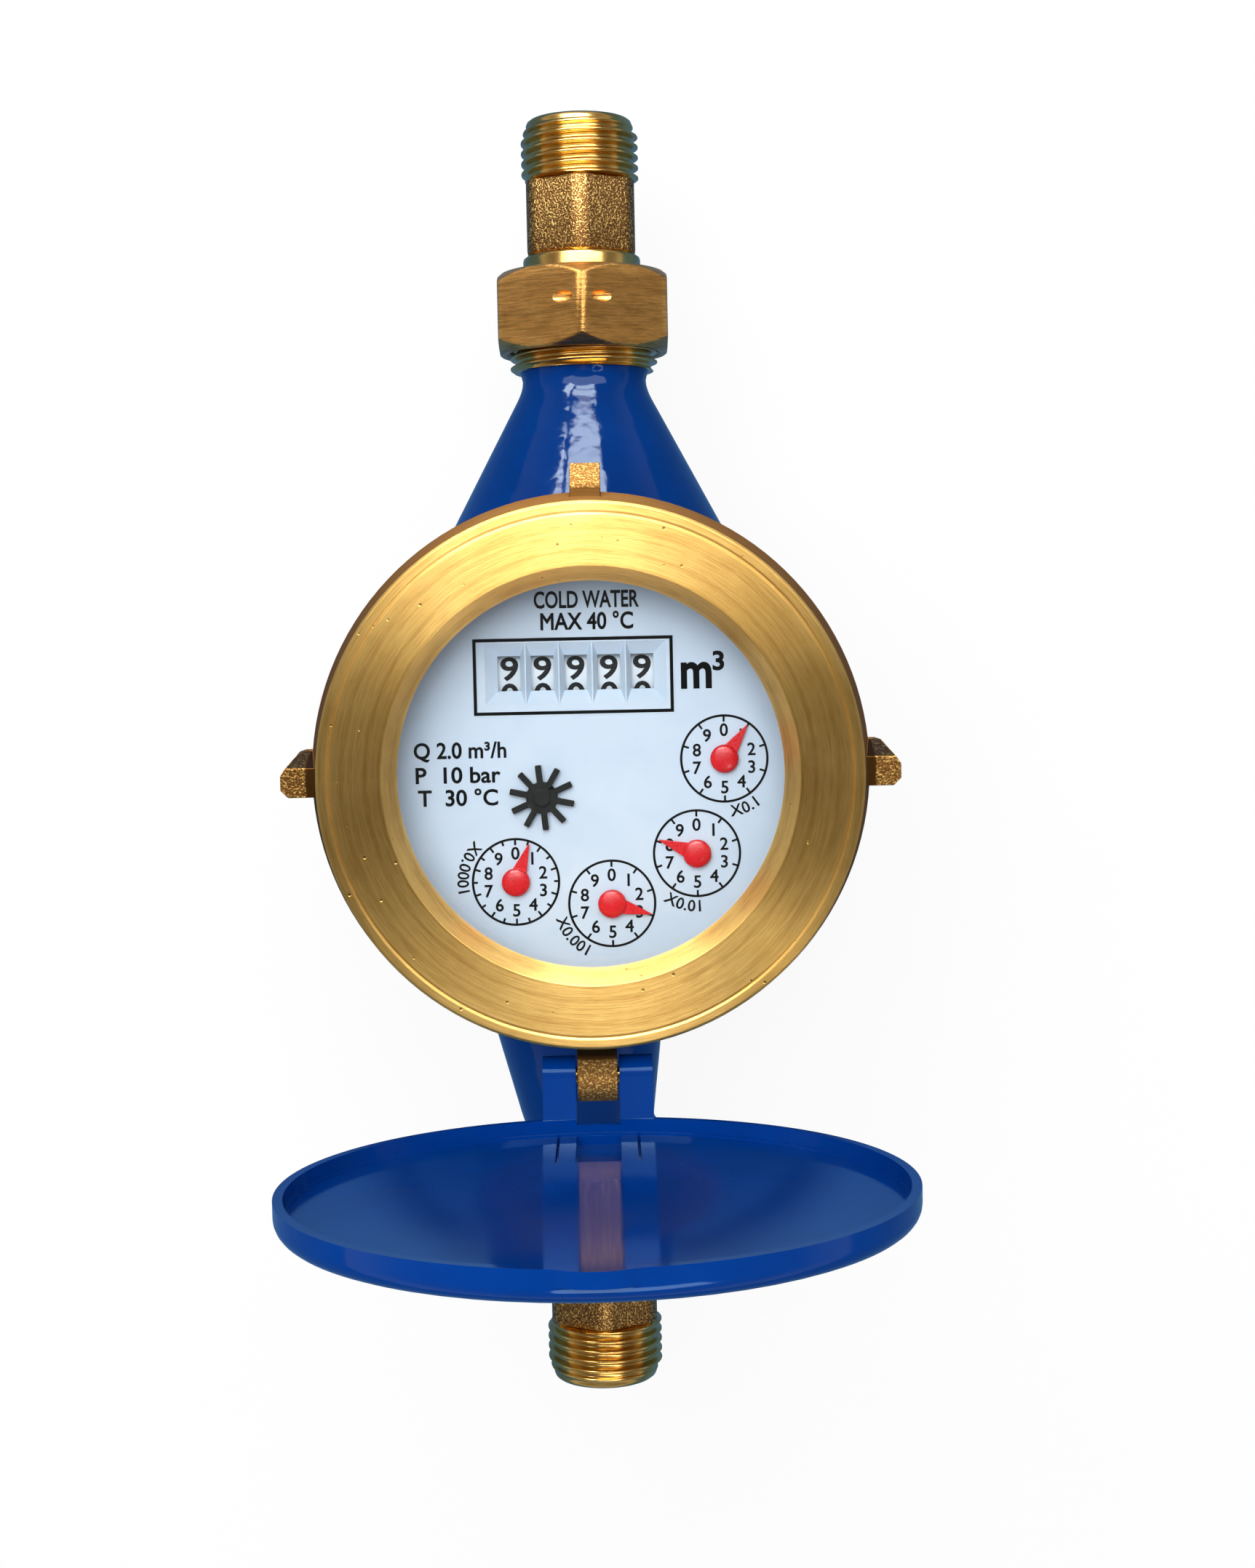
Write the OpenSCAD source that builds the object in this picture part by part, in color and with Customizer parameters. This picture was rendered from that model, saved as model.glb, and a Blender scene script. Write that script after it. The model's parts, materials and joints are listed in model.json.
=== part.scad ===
// Multi-jet water meter with a wet register, a screwed cover ring and a hinged lid.
// Millimetres, +Z up. The origin is the middle of the flat base. The pipe runs along Y,
// the inlet is at +Y, and the lid stands open on the -Y side.

/* [Body] */
// Height of the pipe axis above the base
pipe_z = 36; // [34:0.5:40]
// Length of the body between its two threaded ends
body_len = 163.6; // [156:0.2:172]
// Radius of the flat base
base_r = 28; // [24:0.5:31]
// Radius of the bowl
bowl_r = 41.8; // [41.4:0.1:42.2]
// Wall of the bowl beside the lower cavity
bowl_wall = 4.5; // [3.5:0.1:5.5]
// Thickness of the bowl's floor
floor_t = 7; // [5:0.1:8]
// Radius of the register cavity
cavity_r = 33.5; // [33:0.1:34]
// Radius of the hole in the web that divides inlet from outlet
web_hole_r = 29.6; // [29:0.1:30.5]
// Thickness of that web
web_t = 4; // [3:0.1:5]
// Drop of the web's upper face below the pipe axis
web_drop = 2.5; // [1:0.1:4]
// Outer radius of the threaded rim
rim_r = 40; // [39:0.1:40.4]
// Height of the threaded rim
rim_h = 13; // [11:0.1:15]

/* [Pipe arms] */
// Radius of the waterway
waterway_r = 7.5; // [6.5:0.1:7.8]
// Outer radius of the union thread
spigot_r = 13.22; // [13:0.02:13.6]
// Length of the union thread
spigot_len = 12.3; // [11:0.1:14]
// Radius of the neck behind the union thread
neck_r = 10.9; // [10.4:0.1:12]
// Distance from the thread to where the arm starts to widen
neck_len = 2.6; // [2:0.1:4]
// Radius of the arm's cone at its root inside the bowl
arm_r = 34; // [32:0.5:34]
// Distance from the bowl's axis to that root
arm_root_y = 23.4; // [21:0.2:23.8]
// Radius of the hollow between neck and arm
neck_fillet = 9; // [4:0.5:11]
// Radius of the slimmer outlet arm at its root inside the bowl
outlet_r = 19.4; // [18:0.2:21]
// Sideways lean of the outlet arm
outlet_lean = 4; // [2:0.5:5]

/* [Unions] */
// Width across the flats of the union nuts
nut_af = 30; // [29.5:0.1:32]
// Height of the union nuts
nut_h = 14.2; // [13:0.1:16]
// End wall of the union nuts
nut_wall = 1.8; // [1.5:0.1:2.5]
// Radius of the hole for a seal wire
wire_r = 1; // [0.6:0.1:1.1]
// Thickness of the pipe washers
pipe_washer_t = 1.5; // [1:0.1:2.5]
// Radius of the tailpiece's flange inside the nut
flange_r = 12.4; // [12:0.1:12.8]
// Thickness of that flange
flange_t = 1.8; // [1.4:0.1:2.5]
// Radius of the tailpiece's collar
collar_r = 10.5; // [10:0.1:10.8]
// Length of the collar outside the nut
collar_len = 3; // [2:0.1:5]
// Width across the flats of the tailpiece's spanner hexagon
tail_af = 19.2; // [18:0.1:20]
// Length of the spanner hexagon
tail_hex_len = 13.3; // [8:0.1:16]
// Outer radius of the tailpiece's thread
tail_thread_r = 10.48; // [10:0.02:10.8]
// Length of the tailpiece's thread
tail_thread_len = 10.8; // [9:0.1:16]

/* [Cover ring] */
// Outer radius of the ring's face
ring_r = 43.1; // [42.5:0.1:43.5]
// Outer radius at the foot of the ring's skirt
skirt_r = 45.3; // [44.5:0.1:45.6]
// Height of the ring
ring_h = 26; // [24:0.5:27]
// Height of the straight band below the face
ring_band_h = 2.6; // [2:0.1:3]
// Height over which the skirt widens
ring_draft_h = 11.4; // [10:0.1:13]
// Radius of the sight hole in the face
sight_r = 32.9; // [32:0.1:33.5]
// Radius of the sight hole at the bottom of its bevel
sight_low_r = 30.8; // [30:0.1:31.5]
// Thickness of the lip that holds the glass
lip_t = 6; // [5:0.1:7]
// Radius of the fine groove turned in the face
groove_r = 41.2; // [40:0.1:42]
// Reach of the side lugs
side_lug_reach = 49.6; // [48:0.1:52]
// Width of the side lugs
side_lug_w = 7.2; // [6:0.1:9]
// Distance of the side lugs from the ring's middle line, towards the inlet
side_lug_rise = 0.8; // [0:0.1:1.2]
// Reach of the lug opposite the hinge
far_lug_reach = 49.8; // [48:0.1:52]
// Width of the lug opposite the hinge
far_lug_w = 4.9; // [4:0.1:7]
// Width of the hinge lug
hinge_lug_w = 6.4; // [5:0.1:7]

/* [Glass and seals] */
// Radius of the sight glass
glass_r = 37.8; // [37:0.1:38.5]
// Thickness of the sight glass
glass_t = 6.3; // [5:0.1:8]
// Thickness of the gasket below the glass
gasket_t = 2.2; // [1.9:0.1:3]
// Thickness of the slip washer above the glass
slip_t = 0.5; // [0.3:0.1:1]
// Thickness of the seal below the measuring chamber
chamber_seal_t = 1; // [0.6:0.1:2]

/* [Lid] */
// Distance of the hinge pin from the bowl's axis
hinge_y = 48.6; // [48.3:0.1:49.5]
// Depth of the hinge pin below the ring's face
hinge_drop = 8.2; // [8:0.1:8.8]
// Radius of the hinge pin
pin_r = 1.3; // [1:0.05:1.6]
// Radius of the lid's hinge eyes
eye_r = 3.2; // [2.8:0.1:3.3]
// Radius of the hinge lug's round end
lug_eye_r = 4.2; // [3.6:0.1:4.4]
// Width of each hinge arm
lid_arm_w = 5.3; // [4:0.1:6.5]
// Outer radius of the lid
lid_r = 45; // [44.9:0.1:45.3]
// Wall of the lid's rim
lid_wall = 1.4; // [1.2:0.1:1.5]
// Thickness of the lid's plate
lid_t = 2.2; // [1.9:0.1:2.5]
// How far the rim reaches below the ring's face
lid_lap = 2; // [1.6:0.1:2.4]
// Gap between the closed lid's plate and the ring's face
lid_gap = 0.5; // [0.4:0.1:1]
// Rounding of the lid's outer edge
lid_edge_r = 2.4; // [1:0.1:3]
// Reach of the thumb tab
thumb_reach = 1.2; // [0.8:0.1:2]
// Angle at which the lid rests open
lid_open = 89.5; // [88:0.5:100]

/* [Register] */
// Outer radius of the register base
register_r = 32.6; // [32.2:0.1:32.9]
// Height of the register base up to the dial
register_h = 18.9; // [18.4:0.1:22]
// Thickness of the register's floor
register_floor_t = 2; // [1.6:0.1:2.2]
// Wall of the register base
register_wall = 1.2; // [1:0.1:1.4]
// Thickness of the dial plate
dial_t = 1.6; // [1.4:0.1:2]
// Drop of the dial's face below the body rim
dial_drop = 0.5; // [0.2:0.1:0.8]
// Distance of the four pointers from the dial's centre
pointer_ring_r = 21.7; // [21:0.1:22.2]
// Direction of the first pointer, from +X
pointer_a0 = 4.6; // [2:0.1:6]
// Angle between neighbouring pointers
pointer_pitch = 43.4; // [42:0.1:44]
// Distance of the star wheel from the dial's centre
star_ring_r = 9; // [8.8:0.1:9.4]
// Direction of the star wheel, from +X
star_a = 206; // [203:0.5:209]
// Radius of the arbors
arbor_r = 0.5; // [0.4:0.05:0.6]
// Thickness of the gear wheels
gear_t = 1.2; // [0.9:0.1:1.4]
// Gap between gear layers
gear_gap = 0.4; // [0.3:0.05:0.6]
// Length of the pointers
pointer_len = 6.6; // [5:0.1:7]
// Radius of the pointers' hubs
pointer_hub_r = 2.3; // [1.8:0.1:2.6]
// Radius of the star wheel
star_r = 5.3; // [4.6:0.1:5.6]

/* [Counter] */
// Middle of the counter, across the dial
counter_x = -2.2; // [-3:0.1:-1.5]
// Middle of the counter, up the dial
counter_y = 15.6; // [15.3:0.1:16]
// Distance between neighbouring number wheels
wheel_pitch = 5.41; // [5.2:0.01:5.6]
// Radius of the number wheels
wheel_r = 7; // [6.6:0.1:7.1]
// Radius of the counter shaft
counter_shaft_r = 0.9; // [0.7:0.05:1.1]
// Radius of the carry shaft
carry_shaft_r = 0.6; // [0.5:0.05:0.65]
// Width of the counter mask
mask_w = 31.9; // [31:0.1:32.5]
// Height of the counter mask
mask_h = 12.7; // [12:0.1:13]
// Width of a counter window
window_w = 3.7; // [3.2:0.1:4]
// Height of a counter window
window_h = 5.7; // [5:0.1:6.5]
// Middle of the windows above the axle of the number wheels
window_rise = 0.6; // [0:0.1:0.7]

/* [Measuring chamber] */
// Outer radius of the measuring chamber
chamber_r = 25; // [24:0.1:26]
// Wall of the measuring chamber
chamber_wall = 2; // [1.6:0.1:2.5]
// Height of the chamber above its flange
chamber_top_h = 15.3; // [14:0.1:17]
// Depth of the chamber below its flange
chamber_low_h = 25; // [23:0.1:25.4]
// Thickness of the chamber's flange
chamber_flange_t = 2; // [1.5:0.1:3]
// Thickness of the chamber's cover
chamber_cover_t = 5; // [4:0.1:6]
// Number of jets round the chamber
jets = 10; // [8:1:12]
// Outer radius of the basket strainer
basket_r = 29.2; // [28.6:0.1:29.3]
// Wall of the basket strainer
basket_wall = 1.2; // [1:0.1:1.6]
// Thickness of the basket strainer's flange
basket_flange_t = 1.2; // [1:0.1:2]
// Radius of the impeller over its blades
impeller_r = 20.5; // [19:0.1:21.5]
// Number of impeller blades
blades = 8; // [6:1:9]
// Radius of the impeller's hub
hub_r = 4; // [3.5:0.1:5]
// Radius of the pivot pin under the impeller
pivot_r = 1; // [0.8:0.1:1.2]
// Radius of the impeller's spindle
spindle_r = 1.2; // [1:0.1:1.4]

/* [Hidden] */
$fn = 64;
// Radial play between a shaft and its bearing
run_gap = 0.05;
// Play of a pressed or screwed fit
fit_gap = 0.02;
thread_gap = 0.1;
// Play between neighbouring loose pieces
side_gap = 0.3;
// Overlap of a cut past the face it opens
over = 1;

// Heights, from the base upwards
web_z = pipe_z - web_drop;
bowl_z = pipe_z - 10;
basket_z = web_z + chamber_seal_t;
chamber_z = basket_z + basket_flange_t;
chamber_flange_top = chamber_z + chamber_flange_t;
chamber_top = chamber_flange_top + chamber_top_h;
chamber_bottom = chamber_z - chamber_low_h;
register_z = chamber_top + chamber_cover_t;
register_floor_z = register_z + register_floor_t;
dial_z = register_z + register_h;
dial_top = dial_z + dial_t;
rim_z = dial_top + dial_drop;
shoulder_z = rim_z - rim_h;
glass_z = rim_z + gasket_t;
slip_z = glass_z + glass_t;
lip_z = slip_z + slip_t;
ring_top = lip_z + lip_t;
ring_z = ring_top - ring_h;

// Places along the pipe, from the middle outwards
body_end = body_len / 2;
thread_end = body_end - spigot_len;
tail_start = body_end + pipe_washer_t;
nut_end = tail_start + flange_t + nut_wall;
nut_start = nut_end - nut_h;
collar_end = nut_end + collar_len;
tail_hex_end = collar_end + tail_hex_len;
tail_end = tail_hex_end + tail_thread_len;
seal_hole_r = collar_r + 0.3;

// Gears: teeth of pinions and wheels along the train
impeller_teeth = 8;
star_teeth = 24;
slow_pinion_teeth = 8;
relay_teeth = 24;
relay_pinion_teeth = 9;
pointer_teeth = 30;
carry_teeth = 8;
wheel_teeth = 20;
// Shares of a tooth's pitch taken by half a tooth at its root, pitch line and tip
tooth_root = 0.22;
tooth_mid = 0.16;
tooth_tip = 0.07;
// Tooth heights in modules
tooth_up = 0.85;
tooth_down = 1.2;

// Point at distance ra from a and rb from b, on the left of the way from a to b
function meet(a, b, ra, rb) =
    let (d = norm(b - a), u = (b - a) / d, x = (ra * ra - rb * rb + d * d) / (2 * d))
    a + x * u + sqrt(ra * ra - x * x) * [-u[1], u[0]];
function polar(r, a) = [r * cos(a), r * sin(a)];
function heading(a, b) = atan2(b[1] - a[1], b[0] - a[0]);
// Turn of a gear with z2 teeth that meshes with one of z1 teeth turned by t1
function meshed(t1, z1, z2, way) = way + 180 - 360 / z2 * ((t1 - way) * z1 / 360 + 0.5);
function gear_module(a, z1, z2) = 2 * a / (z1 + z2);

// Arbor places: the pointers, the star, and the relays between them
pointer_at = [for (i = [0:3]) polar(pointer_ring_r, pointer_a0 - i * pointer_pitch)];
star_at = polar(star_ring_r, star_a);
step_a = norm(pointer_at[1] - pointer_at[0]);
// The two meshes of a step reach a little past the straight line between its ends
slow_a = 0.498 * step_a;
fast_a = 0.51 * step_a;
first_step_a = norm(pointer_at[3] - star_at);
first_slow_a = 0.588 * first_step_a;
first_fast_a = 0.569 * first_step_a;
relay_at = [for (i = [0:3]) i == 3
    ? meet(pointer_at[3], star_at, first_fast_a, first_slow_a)
    : meet(pointer_at[i], pointer_at[i + 1], fast_a, slow_a)];

// Gear layers, counted from the register's floor upwards
function layer_z(n) = register_floor_z + 0.6 + n * (gear_t + gear_gap);
relay_wheel_layer = [2, 3, 2, 3];
relay_pinion_layer = [0, 1, 0, 1];

// Turn of each arbor at rest, so that all teeth mesh
star_turn = meshed(0, impeller_teeth, star_teeth, heading([0, 0], star_at));
relay_turn_3 = meshed(star_turn, slow_pinion_teeth, relay_teeth, heading(star_at, relay_at[3]));
function relay_turn(i) = i == 3 ? relay_turn_3
    : meshed(pointer_turn(i + 1), slow_pinion_teeth, relay_teeth,
             heading(pointer_at[i + 1], relay_at[i]));
function pointer_turn(i) =
    meshed(relay_turn(i), relay_pinion_teeth, pointer_teeth, heading(relay_at[i], pointer_at[i]));
// Where the pointers stand, clockwise from the top of their small dials
pointer_reading = [35, 291, 106, 20];

// Counter: wheels, shafts and brackets
wheel_count = 5;
wheel_face_w = 3.6;
wheel_gear_w = 0.7;
wheel_gap = 0.2;
counter_z = dial_z - 1.1 - wheel_r;
carry_a = 1.2 * wheel_r;
carry_y = counter_y + carry_a;
carry_module = gear_module(carry_a, wheel_teeth, carry_teeth);
bracket_t = 1.2;
counter_half = wheel_count * wheel_pitch / 2 + side_gap;
bracket_x = [counter_x - counter_half - bracket_t, counter_x + counter_half];
function wheel_x(i) = counter_x + (i - 2.5) * wheel_pitch;
mask_flange = 1;

// Lid
hinge_z = ring_top - hinge_drop;
lid_rim_z = ring_top - lid_lap;
lid_plate_z = ring_top + lid_gap;
lid_top = lid_plate_z + lid_t;
lid_step_z = lid_plate_z - 0.4;
lid_step = 0.6;
arm_in = hinge_lug_w / 2 + side_gap;
arm_out = arm_in + lid_arm_w;

// Impeller and its bearings
impeller_z = chamber_bottom + 2.5 + 3.5;
impeller_top = chamber_flange_top + 8;
pivot_top = impeller_z + 8;
spindle_top = layer_z(0) + gear_t + 0.2;
pinion_bore = 0.9;

// Shared shapes

// Ring about Z, between two radii and two heights
module tube(r_out, r_in, z0, z1) {
    translate([0, 0, z0])
        difference() {
            cylinder(r = r_out, h = z1 - z0);
            translate([0, 0, -over]) cylinder(r = r_in, h = z1 - z0 + 2 * over);
        }
}

// Children drawn along Z are laid along the pipe, on its axis, with Z turned to +Y or -Y
module on_pipe(side) {
    translate([0, 0, pipe_z]) rotate([side > 0 ? -90 : 90, 0, 0]) children();
}

// Children drawn along Z are laid along X
module along_x(x, y, z) {
    translate([x, y, z]) rotate([0, 90, 0]) children();
}

// Side outline in the Y-Z plane, extruded along X between two places
module side_plate(x0, x1) {
    translate([x0, 0, 0]) rotate([90, 0, 90]) linear_extrude(x1 - x0) children();
}

// Hexagonal prism with a corner towards +Y, and rounded or chamfered by its children
module hex_prism(across, h) {
    rotate([0, 0, 90]) cylinder(r = across / sqrt(3), h = h, $fn = 6);
}

// Toothed outline with z teeth, the first one centred on the +X direction
module gear_2d(z, m) {
    mid = m * z / 2;
    root = mid - tooth_down * m;
    tip = mid + tooth_up * m;
    polygon([for (i = [0:z - 1]) let (p = 360 / z, a = i * p) each [
        polar(root, a - tooth_root * p), polar(mid, a - tooth_mid * p),
        polar(tip, a - tooth_tip * p), polar(tip, a + tooth_tip * p),
        polar(mid, a + tooth_mid * p), polar(root, a + tooth_root * p)]]);
}

module gear(at, turn, z, m, layer) {
    translate([at[0], at[1], layer_z(layer)]) rotate(turn) linear_extrude(gear_t) gear_2d(z, m);
}

// Shaft from its bearing in the register's floor up to a given height
module arbor(at, top) {
    foot = register_floor_z - 0.7 * register_floor_t;
    translate([at[0], at[1], foot]) cylinder(r = arbor_r, h = top - foot);
}

// Body

function bowl_point(r0, r1, z0, z1, a) = [r0 + (r1 - r0) * sin(a), z0 + (z1 - z0) * (1 - cos(a))];

module bowl() {
    rotate_extrude()
        polygon(concat([[0, 0]],
            [for (a = [0:10:90]) bowl_point(base_r, bowl_r, 0, bowl_z, a)],
            [[bowl_r, shoulder_z], [rim_r, shoulder_z], [rim_r, rim_z], [0, rim_z]]));
}

// The inlet arm: root in the bowl, cone, hollow fillet, neck and union spigot
module inlet_arm() {
    widen_y = thread_end - neck_len;
    slope = atan((arm_r - neck_r) / (widen_y - arm_root_y));
    fillet_y = widen_y + neck_fillet * tan(slope / 2);
    on_pipe(1)
        rotate_extrude()
            polygon(concat([[0, 0], [arm_r, 0], [arm_r, arm_root_y]],
                [for (k = [6:-1:0]) let (a = slope * k / 6)
                    [neck_r + neck_fillet * (1 - cos(a)), fillet_y - neck_fillet * sin(a)]],
                [[neck_r, thread_end], [spigot_r - 0.6, thread_end], [spigot_r, thread_end + 0.6],
                 [spigot_r, body_end - 1], [spigot_r - 1, body_end], [0, body_end]]));
}

// The outlet arm, slimmer than the inlet's and leaning to one side with its bore
module outlet_arm() {
    lean_from = 1.7;
    root_y = 20;
    run = thread_end - root_y;
    rise = atan((outlet_goal_z - pipe_z) / (thread_end - neck_len - cavity_r + 6));
    translate([-lean_from, -thread_end, pipe_z])
        rotate([rise - 90, 0, outlet_lean])
            cylinder(r1 = neck_r + 0.3, r2 = outlet_r, h = run);
    on_pipe(-1)
        rotate_extrude()
            polygon([[0, thread_end - neck_len], [neck_r, thread_end - neck_len], [neck_r, thread_end],
                [spigot_r - 0.6, thread_end], [spigot_r, thread_end + 0.6], [spigot_r, body_end - 1],
                [spigot_r - 1, body_end], [0, body_end]]);
}

module lower_cavity() {
    rotate_extrude()
        polygon(concat([[0, floor_t]],
            [for (a = [0:15:90])
                bowl_point(base_r - bowl_wall, bowl_r - bowl_wall, floor_t, bowl_z, a)],
            [[bowl_r - bowl_wall, web_z - web_t], [0, web_z - web_t]]));
}

// Waterway from the arm's end, then slanting to a height beside the chamber
module waterway(side, goal_z) {
    bend_ease = 0.4;
    bend_y = thread_end - neck_len;
    goal_y = cavity_r - 6;
    drop = goal_z - pipe_z;
    run = bend_y - goal_y;
    on_pipe(side) translate([0, 0, bend_y]) cylinder(r = waterway_r, h = body_end - bend_y + over);
    translate([0, side * bend_y, pipe_z])
        rotate([side * (90 - atan(drop / run)), 0, 0])
            cylinder(r = waterway_r - bend_ease, h = norm([run, drop]));
}

strainer_seat_r = waterway_r + 1.6;
strainer_seat_t = 1.2;
inlet_goal_z = (floor_t + web_z - web_t) / 2 + 2;
outlet_goal_z = (chamber_flange_top + register_z) / 2 - 1;

module body_casting() {
    color("royalblue")
        difference() {
            union() {
                bowl();
                inlet_arm();
                outlet_arm();
            }
            lower_cavity();
            translate([0, 0, floor_t + over]) cylinder(r = web_hole_r, h = web_z - floor_t);
            translate([0, 0, web_z]) cylinder(r = cavity_r, h = rim_z - web_z + over);
            waterway(1, inlet_goal_z);
            waterway(-1, outlet_goal_z);
            on_pipe(1) translate([0, 0, body_end - strainer_seat_t])
                cylinder(r = strainer_seat_r, h = strainer_seat_t + over);
        }
}

// Cover ring, glass and seals

ring_bore_r = rim_r + thread_gap;

module ring_turned() {
    rotate_extrude()
        difference() {
            polygon([[sight_low_r, lip_z], [ring_bore_r, lip_z], [ring_bore_r, ring_z],
                [skirt_r - 0.6, ring_z], [skirt_r, ring_z + 0.6],
                [skirt_r, ring_top - ring_band_h - ring_draft_h],
                [ring_r, ring_top - ring_band_h], [ring_r, ring_top - 0.4], [ring_r - 0.4, ring_top],
                [sight_r, ring_top], [sight_low_r, lip_z + 1]]);
            translate([groove_r, ring_top]) circle(r = 0.3, $fn = 4);
        }
}

// Cast lug: a rib on the skirt with a slanted upper facet, drawn towards +Y
module cast_lug(reach, w) {
    inside = ring_r - 1.4;
    top = ring_top - 7.5;
    side_plate(-w / 2, w / 2)
        polygon([[inside, top], [reach - 3.6, top], [reach, top - 5], [reach, top - 12],
            [inside, ring_z + 1]]);
}

// Side lug, drawn towards +X: flat top, a slanted flank and a cut corner on its +Y side
module side_lug(reach, w) {
    inside = ring_r - 1.4;
    top = ring_top - 7.5;
    low = ring_z + 1;
    flank = 2.5;
    flank_drop = 6;
    cut = [2.5, 3.7];
    nick = 1.2;
    intersection() {
        translate([0, 0, ring_z]) linear_extrude(ring_h)
            polygon([[inside, -w / 2], [reach - nick, -w / 2], [reach, nick - w / 2],
                [reach, w / 2 - cut[1]], [reach - cut[0], w / 2], [inside, w / 2]]);
        side_plate(inside - over, reach + over)
            polygon([[-w / 2 - over, low - over], [w / 2 + over, low - over],
                [w / 2 + over, top - flank_drop * (flank + over) / flank],
                [w / 2 - flank, top], [-w / 2 - over, top]]);
        translate([0, w, 0]) rotate([90, 0, 0]) linear_extrude(2 * w)
            polygon([[inside - over, top + over], [reach + over, top + over],
                [reach + over, top - 12], [inside - over, low]]);
    }
}

module hinge_lug() {
    side_plate(-hinge_lug_w / 2, hinge_lug_w / 2) {
        translate([-hinge_y, hinge_z]) circle(r = lug_eye_r);
        polygon([[1.4 - ring_r, hinge_z + lug_eye_r], [-hinge_y, hinge_z + lug_eye_r],
            [-hinge_y, hinge_z - lug_eye_r], [1.4 - ring_r, hinge_z - 2.4 * lug_eye_r]]);
    }
}

module cover_ring() {
    color("goldenrod")
        difference() {
            union() {
                ring_turned();
                cast_lug(far_lug_reach, far_lug_w);
                for (side = [0, 1])
                    translate([0, side_lug_rise, 0])
                        mirror([side, 0, 0]) side_lug(side_lug_reach, side_lug_w);
                hinge_lug();
            }
            along_x(-arm_out, -hinge_y, hinge_z) cylinder(r = pin_r + fit_gap, h = 2 * arm_out);
        }
}

module slip_washer() {
    color("wheat") tube(glass_r, sight_low_r + 0.6, slip_z, lip_z);
}

module sight_glass() {
    color("lightcyan", 0.4)
        rotate_extrude()
            polygon([[0, glass_z], [glass_r - 0.5, glass_z], [glass_r, glass_z + 0.5],
                [glass_r, slip_z - 0.5], [glass_r - 0.5, slip_z], [0, slip_z]]);
}

module glass_gasket() {
    color("dimgray") tube(glass_r, cavity_r + 0.2, rim_z, glass_z);
}

// Register

module dial_plate() {
    color("ghostwhite")
        difference() {
            translate([0, 0, dial_z]) cylinder(r = register_r - 0.2, h = dial_t);
            translate([counter_x - mask_w / 2 - fit_gap, counter_y - mask_h / 2 - fit_gap, dial_z - over])
                cube([mask_w + 2 * fit_gap, mask_h + 2 * fit_gap, dial_t + 2 * over]);
            for (at = concat(pointer_at, [star_at]))
                translate([at[0], at[1], dial_z - over])
                    cylinder(r = arbor_r + run_gap, h = dial_t + 2 * over);
            for (at = relay_at)
                translate([at[0], at[1], dial_z - over])
                    cylinder(r = arbor_r + run_gap, h = over + dial_t / 2);
        }
}

// Funnel-shaped window, wider at the dial's face, with its own slope on each side
module window_cut(x, left, right) {
    rise = 2.1;
    low = dial_z - mask_flange - over;
    high = dial_top + over;
    side = window_w / 2;
    end = window_h / 2;
    mid = counter_y + window_rise;
    steep = (high - dial_z) / dial_t;
    intersection() {
        translate([x, counter_y + 2 * window_h, 0]) rotate([90, 0, 0]) linear_extrude(4 * window_h)
            polygon([[-side, low], [side, low], [side, dial_z],
                [side + right * steep, high], [-side - left * steep, high], [-side, dial_z]]);
        side_plate(x - 3 * window_w, x + 3 * window_w)
            polygon([[mid - end, low], [mid + end, low], [mid + end, dial_z],
                [mid + end + rise * steep, high], [mid - end - rise * steep, high],
                [mid - end, dial_z]]);
    }
}

module counter_mask() {
    ridge = 0.75;
    outer = 2;
    color("white")
        difference() {
            union() {
                translate([counter_x - mask_w / 2, counter_y - mask_h / 2, dial_z - over / 2])
                    cube([mask_w, mask_h, dial_t + over / 2]);
                translate([counter_x - mask_w / 2 - mask_flange, counter_y - mask_h / 2 - mask_flange,
                        dial_z - 0.8])
                    cube([mask_w + 2 * mask_flange, mask_h + mask_flange, 0.8]);
            }
            for (i = [0:wheel_count - 1])
                window_cut(wheel_x(i + 0.5), i == 0 ? outer : ridge, i == wheel_count - 1 ? outer : ridge);
        }
}

module register_bracket(x) {
    side_plate(x, x + bracket_t)
        polygon([[counter_y - 3, register_floor_z - 0.5], [carry_y + 2, register_floor_z - 0.5],
            [carry_y + 2, counter_z + 2], [counter_y + 2, counter_z + 3], [counter_y - 2, counter_z + 3]]);
}

module register_base() {
    color("gainsboro")
        difference() {
            union() {
                tube(register_r, register_r - register_wall, register_z, dial_z);
                translate([0, 0, register_z]) cylinder(r = register_r - 0.1, h = register_floor_t);
                intersection() {
                    translate([0, 0, register_z]) cylinder(r = register_r - 0.1, h = register_h);
                    for (x = bracket_x)
                        register_bracket(x);
                }
            }
            for (at = concat(pointer_at, relay_at, [star_at]))
                translate([at[0], at[1], register_floor_z - 0.8 * register_floor_t])
                    cylinder(r = arbor_r + run_gap, h = register_floor_t);
            translate([0, 0, register_z - over])
                cylinder(r = spindle_r + side_gap, h = register_floor_t + 2 * over);
            along_x(counter_x - counter_half - 2 * bracket_t, counter_y, counter_z)
                cylinder(r = counter_shaft_r + fit_gap, h = 2 * counter_half + 4 * bracket_t);
            along_x(counter_x - counter_half - 2 * bracket_t, carry_y, counter_z)
                cylinder(r = carry_shaft_r + fit_gap, h = 2 * counter_half + 4 * bracket_t);
            for (a = [20:40:340])
                rotate(a) translate([register_r - 3, -3, register_floor_z + 2])
                    cube([6, 6, 0.5 * register_h]);
        }
}

module counter_shaft() {
    color("silver")
        along_x(bracket_x[0], counter_y, counter_z)
            cylinder(r = counter_shaft_r, h = bracket_x[1] - bracket_x[0] + bracket_t);
}

module carry_shaft() {
    color("silver")
        along_x(bracket_x[0], carry_y, counter_z)
            cylinder(r = carry_shaft_r, h = bracket_x[1] - bracket_x[0] + bracket_t);
}

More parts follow.
